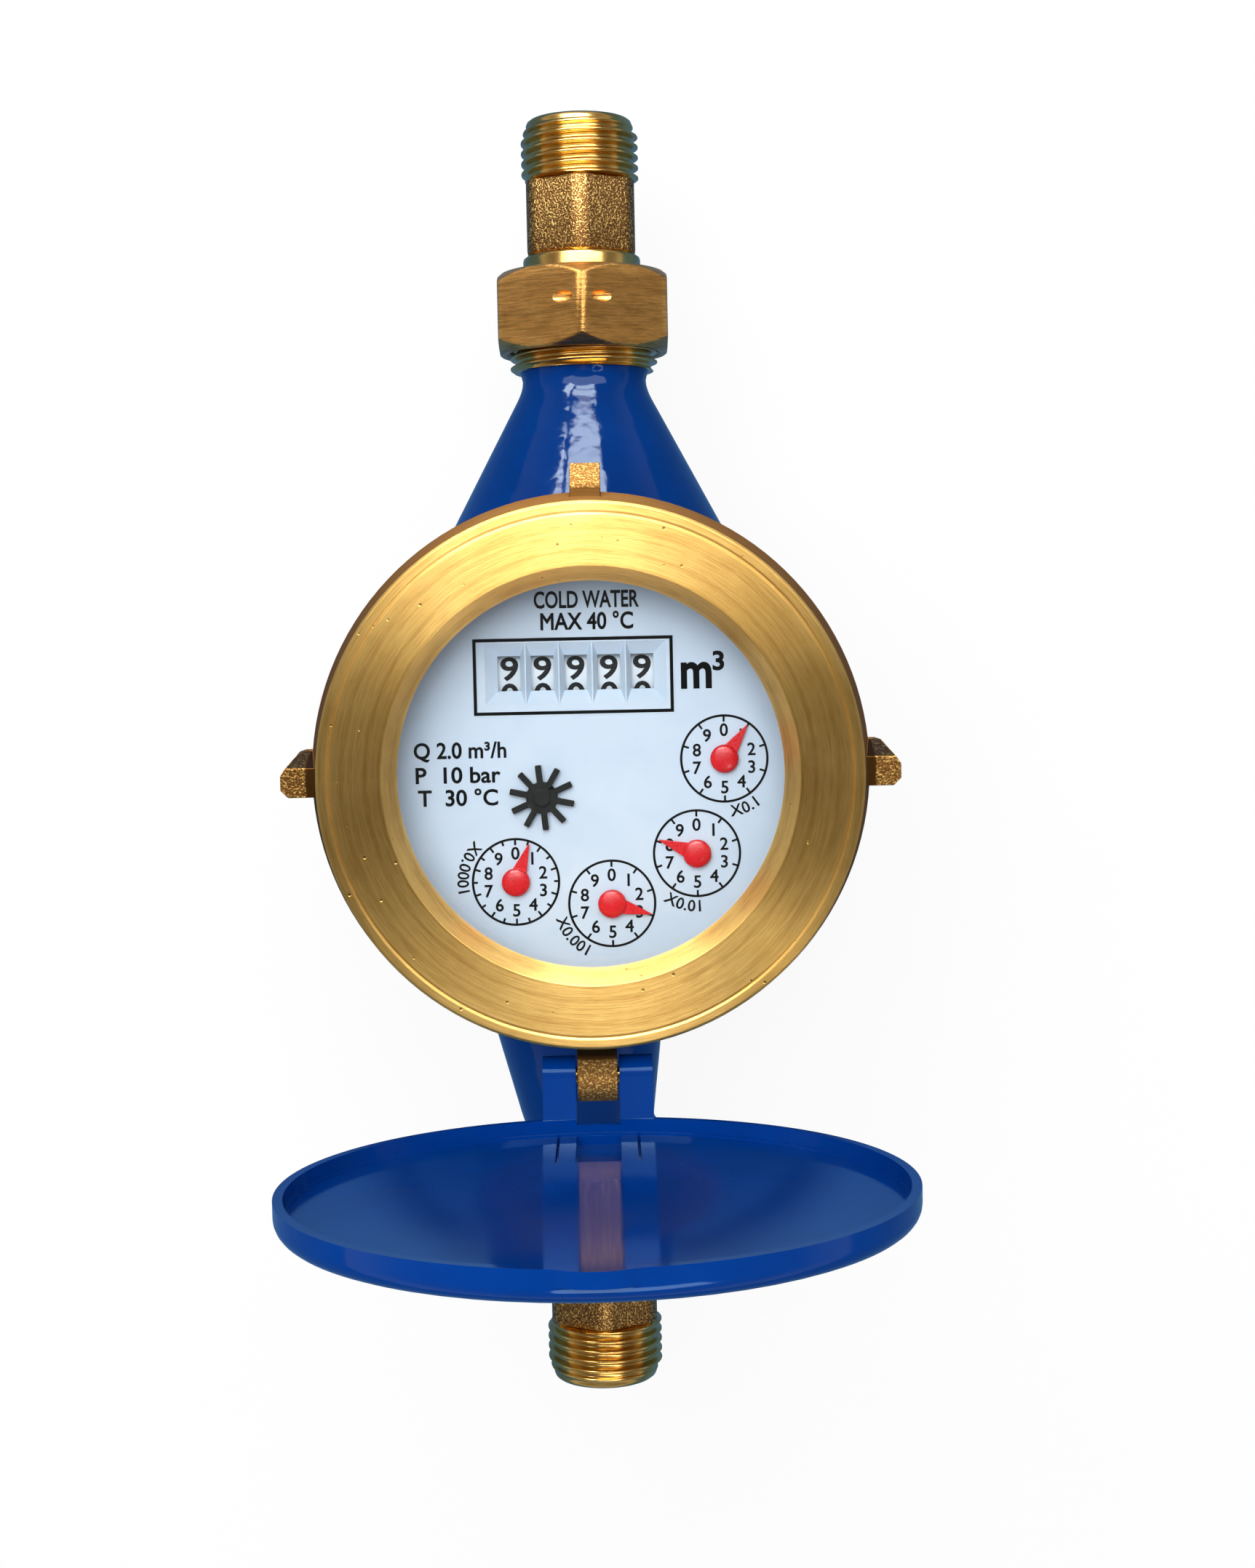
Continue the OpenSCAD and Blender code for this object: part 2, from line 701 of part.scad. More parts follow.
// Number wheel: printed drum, carry gear on its right, locking disc on its left
module number_wheel(i) {
    gear_x = wheel_pitch - wheel_gap - wheel_gear_w;
    disc_r = 0.74 * wheel_r;
    pocket_r = 0.62 * wheel_r;
    color("white")
        along_x(wheel_x(i) + wheel_gap / 2, counter_y, counter_z)
            difference() {
                union() {
                    translate([0, 0, wheel_gear_w]) cylinder(r = wheel_r, h = gear_x - wheel_gear_w);
                    cylinder(r = disc_r, h = wheel_pitch - wheel_gap);
                    translate([0, 0, gear_x - fit_gap]) rotate(90) linear_extrude(wheel_gear_w + fit_gap)
                        gear_2d(wheel_teeth, carry_module);
                }
                translate([0, 0, -over]) cylinder(r = counter_shaft_r + run_gap, h = wheel_pitch + over);
                tube(pocket_r, counter_shaft_r + 1.3, wheel_gear_w + 1.2, wheel_pitch + over);
                translate([-1, disc_r - 1, -over]) cube([2, 2, over + wheel_gear_w]);
            }
}

// Carry pinion between wheels i and i + 1, with a long hub that keeps its place
module carry_pinion(i) {
    x = wheel_x(i) - wheel_gear_w - wheel_gap / 2;
    leaf_w = 2 * wheel_gear_w + wheel_gap;
    hub_len = wheel_pitch - wheel_gap;
    play = 0.1;
    turn = meshed(90, wheel_teeth, carry_teeth, 90);
    color("white")
        difference() {
            union() {
                along_x(x + play, carry_y, counter_z)
                    rotate(turn) linear_extrude(leaf_w - 2 * play) gear_2d(carry_teeth, carry_module);
                along_x(x + leaf_w / 2 - hub_len / 2, carry_y, counter_z)
                    cylinder(r = carry_shaft_r + 0.4, h = hub_len);
            }
            along_x(x - wheel_pitch, carry_y, counter_z)
                cylinder(r = carry_shaft_r + run_gap, h = 3 * wheel_pitch);
        }
}

pointer_hub_z = dial_top + 0.35;
arbor_top = dial_top + 1.2;
relay_top = dial_z + 0.4 * dial_t;

module star_arbor() {
    color("whitesmoke") {
        arbor(star_at, arbor_top);
        gear(star_at, star_turn, star_teeth, gear_module(star_ring_r, impeller_teeth, star_teeth), 0);
        gear(star_at, star_turn, slow_pinion_teeth,
            gear_module(first_slow_a, slow_pinion_teeth, relay_teeth), 3);
    }
}

module relay_arbor(i) {
    slow = i == 3 ? first_slow_a : slow_a;
    fast = i == 3 ? first_fast_a : fast_a;
    color("whitesmoke") {
        arbor(relay_at[i], relay_top);
        gear(relay_at[i], relay_turn(i), relay_teeth,
            gear_module(slow, slow_pinion_teeth, relay_teeth), relay_wheel_layer[i]);
        gear(relay_at[i], relay_turn(i), relay_pinion_teeth,
            gear_module(fast, relay_pinion_teeth, pointer_teeth), relay_pinion_layer[i]);
    }
}

module pointer_arbor(i) {
    fast = i == 3 ? first_fast_a : fast_a;
    color("whitesmoke") {
        arbor(pointer_at[i], arbor_top);
        gear(pointer_at[i], pointer_turn(i), pointer_teeth,
            gear_module(fast, relay_pinion_teeth, pointer_teeth), relay_pinion_layer[i]);
        if (i > 0)
            gear(pointer_at[i], pointer_turn(i), slow_pinion_teeth,
                gear_module(slow_a, slow_pinion_teeth, relay_teeth), relay_wheel_layer[i - 1]);
    }
}

// Pointer: flat tapering needle under a domed hub, pressed on its arbor
module pointer(i) {
    hub_h = 1.4;
    needle_t = 0.5;
    color("red")
        translate([pointer_at[i][0], pointer_at[i][1], pointer_hub_z])
            rotate(90 - pointer_reading[i])
                difference() {
                    union() {
                        rotate_extrude()
                            polygon(concat([[0, 0], [pointer_hub_r, 0]],
                                [for (a = [0:15:90])
                                    [pointer_hub_r * cos(a), needle_t + (hub_h - needle_t) * sin(a)]]));
                        linear_extrude(needle_t)
                            polygon([[0, -0.72 * pointer_hub_r], [pointer_len, -0.08],
                                [pointer_len, 0.08], [0, 0.72 * pointer_hub_r]]);
                    }
                    translate([0, 0, -over])
                        cylinder(r = arbor_r + fit_gap, h = over + arbor_top - pointer_hub_z + fit_gap);
                }
}

// Star wheel: ten straight arms on a flat hub, which shows that water runs
module star_wheel() {
    points = 10;
    star_t = 0.8;
    star_arm_w = 1;
    star_rest = 24;
    color("#202022")
        translate([star_at[0], star_at[1], pointer_hub_z])
            difference() {
                union() {
                    linear_extrude(star_t) {
                        circle(r = 0.485 * star_r);
                        for (k = [0:points - 1])
                            rotate(star_rest + k * 360 / points)
                                translate([0, -star_arm_w / 2]) square([star_r, star_arm_w]);
                    }
                    cylinder(r = 0.26 * star_r, h = star_t + 0.6);
                }
                translate([0, 0, -over])
                    cylinder(r = arbor_r + fit_gap, h = over + arbor_top - pointer_hub_z + fit_gap);
            }
}

// Measuring chamber

impeller_module = gear_module(star_ring_r, impeller_teeth, star_teeth);

module impeller_pinion() {
    color("khaki")
        difference() {
            gear([0, 0], 0, impeller_teeth, impeller_module, 0);
            translate([0, 0, layer_z(0) - over])
                cylinder(r = pinion_bore + fit_gap, h = gear_t + 2 * over);
        }
}

// Impeller: hub, radial blades joined by a disc, and the spindle up to the register
module impeller() {
    blade_t = 1.2;
    color("white")
        difference() {
            union() {
                translate([0, 0, impeller_z]) cylinder(r = hub_r, h = impeller_top - impeller_z);
                translate([0, 0, impeller_top - 2.6]) cylinder(r = impeller_r - 6, h = 1.2);
                for (a = [0:360 / blades:359])
                    rotate(a) translate([0, -blade_t / 2, impeller_z + 2])
                        cube([impeller_r, blade_t, impeller_top - impeller_z - 4]);
                translate([0, 0, impeller_top - 1])
                    cylinder(r = spindle_r, h = layer_z(0) - impeller_top + 1);
                translate([0, 0, impeller_top]) cylinder(r = pinion_bore, h = spindle_top - impeller_top);
            }
            translate([0, 0, impeller_z - over])
                cylinder(r = pivot_r + run_gap, h = pivot_top - impeller_z + 0.1 + over);
        }
}

module pivot_pin() {
    color("silver")
        rotate_extrude()
            polygon([[0, chamber_bottom], [pivot_r, chamber_bottom], [pivot_r, pivot_top - 0.4],
                [pivot_r - 0.4, pivot_top], [0, pivot_top]]);
}

// Slanting slots through the chamber's wall
module jet_ring(z, h, lean) {
    for (a = [0:360 / jets:359])
        rotate(a) translate([0.6 * chamber_r, -1.4, z])
            rotate(lean) cube([chamber_r, 2.8, h]);
}

module chamber_lower() {
    chamber_floor_t = 2.5;
    color("ivory")
        difference() {
            union() {
                translate([0, 0, chamber_bottom]) cylinder(r = chamber_r, h = chamber_top - chamber_bottom);
                translate([0, 0, chamber_z]) cylinder(r = cavity_r - side_gap, h = chamber_flange_t);
            }
            difference() {
                translate([0, 0, chamber_bottom + chamber_floor_t])
                    cylinder(r = chamber_r - chamber_wall, h = chamber_top - chamber_bottom);
                translate([0, 0, chamber_bottom]) cylinder(r = 3, h = chamber_floor_t + 2);
            }
            translate([0, 0, chamber_bottom - over]) cylinder(r = pivot_r + fit_gap, h = 10);
            jet_ring(impeller_z, 7, 25);
            jet_ring(chamber_flange_top + 3, 8, -25);
        }
}

module chamber_cover() {
    rib_h = 0.6 * chamber_cover_t;
    color("ivory")
        difference() {
            union() {
                translate([0, 0, chamber_top]) cylinder(r = chamber_r, h = chamber_cover_t);
                translate([0, 0, chamber_top - 2])
                    cylinder(r = chamber_r - chamber_wall - side_gap / 2, h = 2.5);
            }
            translate([0, 0, chamber_top - 2 - over])
                cylinder(r = spindle_r + run_gap, h = chamber_cover_t + 4);
            tube(chamber_r - 5, 6, register_z - rib_h, register_z + over);
        }
}

module basket_strainer() {
    basket_bottom = chamber_bottom - 1.7;
    basket_floor_t = 1.2;
    color("gainsboro")
        difference() {
            union() {
                translate([0, 0, basket_bottom])
                    cylinder(r = basket_r, h = basket_z + basket_flange_t - basket_bottom);
                translate([0, 0, basket_z]) cylinder(r = cavity_r - side_gap, h = basket_flange_t);
            }
            translate([0, 0, basket_bottom + basket_floor_t])
                cylinder(r = basket_r - basket_wall, h = chamber_z - basket_bottom);
            for (a = [0:15:165])
                rotate(a) translate([-basket_r - over, -1.2, basket_bottom + 3])
                    cube([2 * basket_r + 2 * over, 2.4, web_z - basket_bottom - 9]);
        }
}

module chamber_seal() {
    color("dimgray") tube(cavity_r - side_gap, web_hole_r, web_z, basket_z);
}

// Strainer cup seated in the end of the inlet arm
module inlet_strainer() {
    cup_r = waterway_r - side_gap;
    cup_len = 11;
    color("white")
        on_pipe(1) translate([0, 0, body_end - strainer_seat_t])
            difference() {
                union() {
                    cylinder(r = strainer_seat_r - 0.1, h = strainer_seat_t);
                    translate([0, 0, -cup_len]) cylinder(r = cup_r, h = cup_len + 0.5);
                }
                translate([0, 0, 1 - cup_len]) cylinder(r = cup_r - 1, h = cup_len + strainer_seat_t);
                for (a = [0:30:330])
                    rotate(a) translate([cup_r - 2, -0.8, 2 - cup_len])
                        cube([2 + over, 1.6, cup_len - 4]);
                for (x = [-4:2:4])
                    translate([x - 0.6, -3.5, -cup_len - over]) cube([1.2, 7, over + 1.5]);
            }
}

// Unions

module pipe_washer(side) {
    color("saddlebrown")
        on_pipe(side) tube(spigot_r - 1, waterway_r + 0.4, body_end, tail_start);
}

module union_nut(side) {
    corner_r = nut_af / sqrt(3);
    chamfer = corner_r - nut_af / 2;
    wire_depth = corner_r - 1.95;
    color("darkgoldenrod")
        on_pipe(side)
            difference() {
                intersection() {
                    translate([0, 0, nut_start]) hex_prism(nut_af, nut_h);
                    rotate_extrude()
                        polygon([[0, nut_start], [nut_af / 2 - 0.2, nut_start],
                            [corner_r, nut_start + 0.8 * chamfer], [corner_r, nut_end - 0.8 * chamfer],
                            [nut_af / 2 - 0.2, nut_end], [0, nut_end]]);
                }
                translate([0, 0, nut_start - over])
                    cylinder(r = spigot_r + thread_gap, h = nut_h - nut_wall + over);
                translate([0, 0, nut_start]) cylinder(r = seal_hole_r, h = nut_h + over);
                along_x(-nut_af, side * -wire_depth, nut_start + 0.58 * nut_h)
                    cylinder(r = wire_r, h = 2 * nut_af);
            }
}

module tailpiece(side) {
    color("goldenrod")
        on_pipe(side)
            difference() {
                union() {
                    translate([0, 0, tail_start]) cylinder(r = flange_r, h = flange_t);
                    translate([0, 0, tail_start]) cylinder(r = collar_r, h = collar_end - tail_start);
                    intersection() {
                        translate([0, 0, collar_end - 0.5]) hex_prism(tail_af, tail_hex_len + 1);
                        translate([0, 0, tail_start]) cylinder(r = collar_r + 0.1, h = tail_end - tail_start);
                    }
                    rotate_extrude()
                        polygon([[0, tail_hex_end], [tail_thread_r - 0.8, tail_hex_end],
                            [tail_thread_r, tail_hex_end + 0.8], [tail_thread_r, tail_end - 1],
                            [tail_thread_r - 0.9, tail_end], [0, tail_end]]);
                }
                translate([0, 0, tail_start - over])
                    cylinder(r = waterway_r, h = tail_end - tail_start + 2 * over);
            }
}

// Lid, drawn closed and then turned open about its pin

module lid_shell() {
    inner_r = lid_r - lid_wall;
    rotate_extrude()
        polygon(concat([[0, lid_plate_z], [inner_r - lid_step, lid_plate_z],
            [inner_r - lid_step, lid_step_z], [inner_r, lid_step_z], [inner_r, lid_rim_z],
            [lid_r, lid_rim_z]],
            [for (a = [0:15:90])
                [lid_r - lid_edge_r * (1 - cos(a)), lid_top - lid_edge_r * (1 - sin(a))]],
            [[0, lid_top]]));
}

module lid_arm(x0) {
    root_y = lid_r - lid_wall;
    difference() {
        side_plate(x0, x0 + lid_arm_w) {
            translate([-hinge_y, hinge_z]) circle(r = eye_r);
            polygon([[eye_r - hinge_y, hinge_z], [0.1 - root_y, lid_rim_z], [0.1 - root_y, lid_plate_z + 0.5],
                [-lid_r - 0.6, lid_plate_z + 0.7], [-hinge_y - eye_r, hinge_z + 4],
                [-hinge_y - eye_r, hinge_z]]);
        }
        along_x(x0 - over, -hinge_y, hinge_z) cylinder(r = pin_r + run_gap, h = lid_arm_w + 2 * over);
    }
}

// Lip for the thumb at the free edge
module thumb_tab() {
    tab_r = 10;
    tab_t = 2.2;
    translate([0, 0, lid_rim_z])
        difference() {
            translate([0, lid_r + thumb_reach - tab_r, 0]) cylinder(r = tab_r, h = tab_t);
            translate([0, 0, -over]) cylinder(r = lid_r - lid_wall / 2, h = tab_t + 2 * over);
        }
}

module lid() {
    pocket_len = 18.6;
    pocket_t = 1.5;
    rib_w = 2.6;
    slit_w = 0.45;
    pocket_y = lid_wall + lid_step - lid_r + 0.2;
    color("mediumblue")
        translate([0, -hinge_y, hinge_z]) rotate([lid_open, 0, 0]) translate([0, hinge_y, -hinge_z])
            difference() {
                union() {
                    lid_shell();
                    lid_arm(arm_in);
                    lid_arm(-arm_out);
                    thumb_tab();
                }
                translate([-arm_in, -lid_r - over, lid_rim_z - over])
                    cube([2 * arm_in, lid_wall + 3, over + 0.9]);
                translate([-arm_in, pocket_y, lid_plate_z - over])
                    cube([2 * arm_in, pocket_len, over + pocket_t]);
                for (x = [-arm_in - rib_w - slit_w, arm_in + rib_w])
                    translate([x, pocket_y, lid_plate_z - over])
                        cube([slit_w, pocket_len, over + pocket_t]);
            }
}

module hinge_pin() {
    color("gold")
        along_x(-arm_out, -hinge_y, hinge_z) cylinder(r = pin_r, h = 2 * arm_out);
}

body_casting();
cover_ring();
slip_washer();
sight_glass();
glass_gasket();
dial_plate();
counter_mask();
register_base();
counter_shaft();
for (i = [0:wheel_count - 1])
    number_wheel(i);
carry_shaft();
for (i = [1:wheel_count - 1])
    carry_pinion(i);
star_wheel();
star_arbor();
for (i = [0:3])
    relay_arbor(i);
for (i = [0:3])
    pointer_arbor(i);
for (i = [0:3])
    pointer(i);
impeller();
impeller_pinion();
pivot_pin();
chamber_lower();
chamber_cover();
basket_strainer();
chamber_seal();
inlet_strainer();
pipe_washer(1);  // inlet_washer
pipe_washer(-1);  // outlet_washer
union_nut(1);  // inlet_nut
union_nut(-1);  // outlet_nut
tailpiece(1);  // inlet_tailpiece
tailpiece(-1);  // outlet_tailpiece
lid();
hinge_pin();
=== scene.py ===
# %% [markdown]
# # A cold water meter, dressed for the camera
# The solids of the meter come from the frame, already in place and on their joints. This
# lesson adds what a solid model leaves out: pipe threads, printed figures, rounded edges,
# and finishes such as turned brass, glossy enamel and moulded plastic.

import json
import math

import bmesh
import bpy
from mathutils import Matrix, Vector


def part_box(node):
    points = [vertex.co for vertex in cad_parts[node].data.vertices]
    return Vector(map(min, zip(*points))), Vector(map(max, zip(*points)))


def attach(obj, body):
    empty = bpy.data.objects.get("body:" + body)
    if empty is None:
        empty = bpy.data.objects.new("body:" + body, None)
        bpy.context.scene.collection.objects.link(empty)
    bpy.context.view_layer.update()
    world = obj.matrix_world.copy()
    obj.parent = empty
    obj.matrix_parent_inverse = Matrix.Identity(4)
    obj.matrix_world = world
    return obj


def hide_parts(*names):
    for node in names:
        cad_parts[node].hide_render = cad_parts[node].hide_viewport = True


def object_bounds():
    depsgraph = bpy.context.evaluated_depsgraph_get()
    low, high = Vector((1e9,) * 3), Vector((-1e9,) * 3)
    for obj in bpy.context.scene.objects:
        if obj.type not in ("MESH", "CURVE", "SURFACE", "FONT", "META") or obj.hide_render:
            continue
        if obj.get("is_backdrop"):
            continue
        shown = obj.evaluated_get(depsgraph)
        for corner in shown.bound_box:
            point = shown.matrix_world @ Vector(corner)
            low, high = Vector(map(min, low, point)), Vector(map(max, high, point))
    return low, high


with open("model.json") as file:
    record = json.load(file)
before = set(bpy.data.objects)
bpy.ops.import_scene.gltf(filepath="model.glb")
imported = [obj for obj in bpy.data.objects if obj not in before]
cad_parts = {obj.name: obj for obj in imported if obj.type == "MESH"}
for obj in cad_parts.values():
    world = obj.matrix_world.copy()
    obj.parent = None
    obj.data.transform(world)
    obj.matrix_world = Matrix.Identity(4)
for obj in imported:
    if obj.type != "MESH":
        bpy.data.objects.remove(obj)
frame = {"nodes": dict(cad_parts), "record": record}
solids = frame["nodes"]
cad_low, cad_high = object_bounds()
scene = bpy.context.scene
MM = 0.001
print("solids:", len(solids), "size in mm:", [round(c / MM, 1) for c in cad_high - cad_low])

# %% [markdown]
# ## Small tools for shader nodes
# A node tree can be wired by hand in the editor, or in code. In code, one short function
# that makes a node, sets it and links it keeps every finish readable. Colours are written
# as they look on a screen and turned into the linear values that shaders expect.


# %% Colours and nodes
def screen(red, green, blue):
    def linear(level):
        share = level / 255
        return share / 12.92 if share <= 0.04045 else ((share + 0.055) / 1.055) ** 2.4

    return (linear(red), linear(green), linear(blue), 1.0)


def connect(tree, value, socket):
    if isinstance(value, bpy.types.NodeSocket):
        tree.links.new(value, socket)
    else:
        socket.default_value = value


def put(tree, kind, sockets=None, **settings):
    made = tree.nodes.new(kind)
    for name, value in settings.items():
        setattr(made, name, value)
    for name, value in (sockets or {}).items():
        connect(tree, value, made.inputs[name])
    return made


print("white as linear values:", screen(255, 255, 255))


# %% Sums, ramps, mixes and noise
def sums(tree, operation, a, b=0.0, clamp=False):
    return put(tree, "ShaderNodeMath", {0: a, 1: b}, operation=operation, use_clamp=clamp).outputs[0]


def times(tree, a, b):
    return sums(tree, "MULTIPLY", a, b)


def plus(tree, a, b):
    return sums(tree, "ADD", a, b)


def distance(tree, a, b):
    return sums(tree, "SQRT", plus(tree, times(tree, a, a), times(tree, b, b)))


def ramp(tree, value, low, high, to_low=0.0, to_high=1.0):
    limits = {"Value": value, "From Min": low, "From Max": high, "To Min": to_low, "To Max": to_high}
    return put(tree, "ShaderNodeMapRange", limits, interpolation_type="SMOOTHSTEP").outputs[0]


def between(tree, share, a, b):
    return put(tree, "ShaderNodeMix", {0: share, 6: a, 7: b}, data_type="RGBA").outputs[2]


def place(tree):
    return put(tree, "ShaderNodeTexCoord").outputs["Object"]


def noise(tree, spot, scale, detail, roughness=0.5):
    values = {"Vector": spot, "Scale": scale, "Detail": detail, "Roughness": roughness}
    return put(tree, "ShaderNodeTexNoise", values).outputs[0]


print("sums, ramps, mixes and noise ready")


# %% Node groups
def new_group(name, inputs, outputs):
    tree = bpy.data.node_groups.new(name, "ShaderNodeTree")
    kinds = {"value": "NodeSocketFloat", "colour": "NodeSocketColor"}
    for label, kind, start in inputs:
        socket = tree.interface.new_socket(label, in_out="INPUT", socket_type=kinds[kind])
        socket.default_value = start
    for label, kind in outputs:
        tree.interface.new_socket(label, in_out="OUTPUT", socket_type=kinds[kind])
    return tree, tree.nodes.new("NodeGroupInput").outputs, tree.nodes.new("NodeGroupOutput").inputs


def use(tree, group, **values):
    made = put(tree, "ShaderNodeGroup", node_tree=group)
    for name, value in values.items():
        connect(tree, value, made.inputs[name])
    return made.outputs


def per_metre(tree, size):
    return sums(tree, "DIVIDE", 1 / MM, size)


print("node groups ready")

# %% [markdown]
# ## Effects that several finishes share
# No real surface has one flat colour. Paint drifts a little in tone, castings are grainy,
# lathe tools leave rings, and dirt gathers in specks. Each effect is a node group with named
# sockets, built once and set differently in each finish. Sizes are in millimetres.

# %% Effect: drift of colour
drift, take, give = new_group(
    "colour drift",
    [
        ("Base", "colour", (1, 1, 1, 1)),
        ("Other", "colour", (0, 0, 0, 1)),
        ("Size", "value", 5.0),
        ("Amount", "value", 0.3),
    ],
    [("Color", "colour")],
)
cloud = noise(drift, place(drift), per_metre(drift, take["Size"]), 4.0, 0.6)
share = sums(drift, "MULTIPLY", ramp(drift, cloud, 0.3, 0.7), take["Amount"], clamp=True)
drift.links.new(between(drift, share, take["Base"], take["Other"]), give["Color"])
print("group:", drift.name)

# %% Effect: grain of a sand casting
grain, take, give = new_group(
    "cast grain", [("Size", "value", 0.6)], [("Height", "value"), ("Crest", "value")]
)
scale = per_metre(grain, take["Size"])
lumps = noise(grain, place(grain), scale, 3.0, 0.55)
sockets = {"Vector": place(grain), "Scale": scale, "Smoothness": 0.6}
cells = put(grain, "ShaderNodeTexVoronoi", sockets, feature="SMOOTH_F1").outputs[0]
height = plus(grain, lumps, times(grain, cells, 0.6))
grain.links.new(height, give["Height"])
grain.links.new(ramp(grain, height, 0.75, 1.05), give["Crest"])
print("group:", grain.name)

# %% Effect: rings left by a lathe tool
rings, take, give = new_group(
    "lathe rings",
    [("Along", "value", 0.0), ("Pitch", "value", 0.25), ("Around", "value", 0.0)],
    [("Height", "value"), ("Tone", "value")],
)
wander = noise(rings, place(rings), 60.0, 1.0)
track = plus(rings, sums(rings, "DIVIDE", take["Along"], take["Pitch"]), times(rings, wander, 0.8))
spot = put(rings, "ShaderNodeCombineXYZ", {0: track, 1: times(rings, take["Around"], 6.0)}).outputs[0]
fine = noise(rings, spot, 1.0, 3.0, 0.7)
sockets = {"W": track, "Scale": 0.12, "Detail": 2.0}
broad = put(rings, "ShaderNodeTexNoise", sockets, noise_dimensions="1D").outputs[0]
rings.links.new(fine, give["Height"])
rings.links.new(plus(rings, times(rings, fine, 0.5), times(rings, broad, 0.5)), give["Tone"])
print("group:", rings.name)

# %% Effect: specks and pits
specks, take, give = new_group(
    "specks",
    [("Spacing", "value", 3.0), ("Size", "value", 0.2), ("Share", "value", 0.5)],
    [("Mask", "value")],
)
sockets = {"Vector": place(specks), "Scale": per_metre(specks, take["Spacing"])}
dots = put(specks, "ShaderNodeTexVoronoi", sockets).outputs
chance = put(specks, "ShaderNodeSeparateColor", {0: dots["Color"]}).outputs[0]
chosen = sums(specks, "LESS_THAN", chance, take["Share"])
radius = sums(specks, "DIVIDE", take["Size"], take["Spacing"])
inside = ramp(specks, dots["Distance"], radius, times(specks, radius, 0.4))
specks.links.new(times(specks, inside, chosen), give["Mask"])
print("group:", specks.name)

# %% Effect: worn or bright edges
edges, take, give = new_group("bright edges", [("Width", "value", 0.3)], [("Mask", "value")])
rounded = put(edges, "ShaderNodeBevel", {"Radius": times(edges, take["Width"], MM)}, samples=4).outputs[0]
plain = put(edges, "ShaderNodeNewGeometry").outputs["Normal"]
likeness = put(edges, "ShaderNodeVectorMath", {0: rounded, 1: plain}, operation="DOT_PRODUCT")
edges.links.new(ramp(edges, likeness.outputs["Value"], 0.99, 0.9), give["Mask"])
print("group:", edges.name)

# %% [markdown]
# ## Brass
# The ring, the nuts and the tailpieces are brass. Some faces are turned and shine in streaks
# across the tool marks, others are as cast and glitter grain by grain. One metal shader serves
# both: masks made from the place on the piece choose between smooth and grainy.


# %% Start of a finish
def new_finish(name, **shader):
    material = bpy.data.materials.new(name)
    material.use_nodes = True
    tree = material.node_tree
    tree.nodes.clear()
    skin = put(tree, "ShaderNodeBsdfPrincipled")
    for socket, value in shader.items():
        skin.inputs[socket.replace("_", " ")].default_value = value
    put(tree, "ShaderNodeOutputMaterial", {"Surface": skin.outputs[0]})
    return material, tree, skin.inputs


def bump(tree, skin, height, depth):
    made = put(tree, "ShaderNodeBump", {"Height": height, "Strength": 1.0, "Distance": depth * MM})
    tree.links.new(made.outputs[0], skin["Normal"])


def millimetres(tree):
    apart = put(tree, "ShaderNodeSeparateXYZ", {0: place(tree)})
    return [sums(tree, "DIVIDE", apart.outputs[k], MM) for k in range(3)]


GOLD = screen(227, 187, 110)
BRONZE = screen(168, 116, 48)
UMBER = screen(92, 58, 26)
print("brass tones ready")

# %% Finish: cover ring, turned on its face and cast on its lugs
LUGS_FROM, BORE_EDGE = 45.3, 38.0
FACE_EDGE = 93.2
ring_brass, tree, skin = new_finish("ring_brass", Metallic=1.0, Anisotropic=0.8, Anisotropic_Rotation=0.25)
x, y, z = millimetres(tree)
reach = distance(tree, x, y)
cast = ramp(tree, reach, LUGS_FROM, LUGS_FROM + 0.4)
below = ramp(tree, z, FACE_EDGE, FACE_EDGE - 1.2)
# On the outer side below the turned face the colour goes almost wholly to dark umber and the roughness
# rises
side = times(tree, below, ramp(tree, reach, BORE_EDGE, BORE_EDGE + 2.0))
lathe = use(tree, rings, Along=reach, Pitch=0.22, Around=sums(tree, "ARCTAN2", y, x))
sand = use(tree, grain, Size=0.34)
pits = use(tree, specks, Spacing=2.4, Size=0.32, Share=0.22)["Mask"]
print("ring: turned face above", FACE_EDGE, "mm, cast lugs from", LUGS_FROM, "mm out")

# %% Colour, gloss and relief of the cover ring
yellow, tan = screen(238, 196, 114), screen(190, 143, 68)
tone = use(tree, drift, Base=yellow, Other=tan, Size=14.0, Amount=0.45)["Color"]
tone = between(tree, ramp(tree, lathe["Tone"], 0.4, 0.66, 0.0, 0.52), tone, BRONZE)
tone = between(tree, times(tree, side, 0.92), tone, UMBER)
tone = between(tree, times(tree, pits, 0.7), tone, UMBER)
rough = between(tree, sand["Crest"], screen(140, 96, 48), GOLD)
tree.links.new(between(tree, cast, tone, rough), skin["Base Color"])
dullness = ramp(tree, cast, 0.0, 1.0, 0.42, 0.32)
tree.links.new(plus(tree, dullness, times(tree, side, 0.2)), skin["Roughness"])
tangent = put(tree, "ShaderNodeTangent", direction_type="RADIAL", axis="Z").outputs[0]
tree.links.new(tangent, skin["Tangent"])
face_height = sums(tree, "SUBTRACT", times(tree, lathe["Height"], 0.3), times(tree, pits, 0.5))
cast_height = times(tree, sand["Height"], 1.1)
bump(tree, skin, plus(tree, times(tree, cast_height, cast), face_height), depth=0.12)
print("finish:", ring_brass.name)

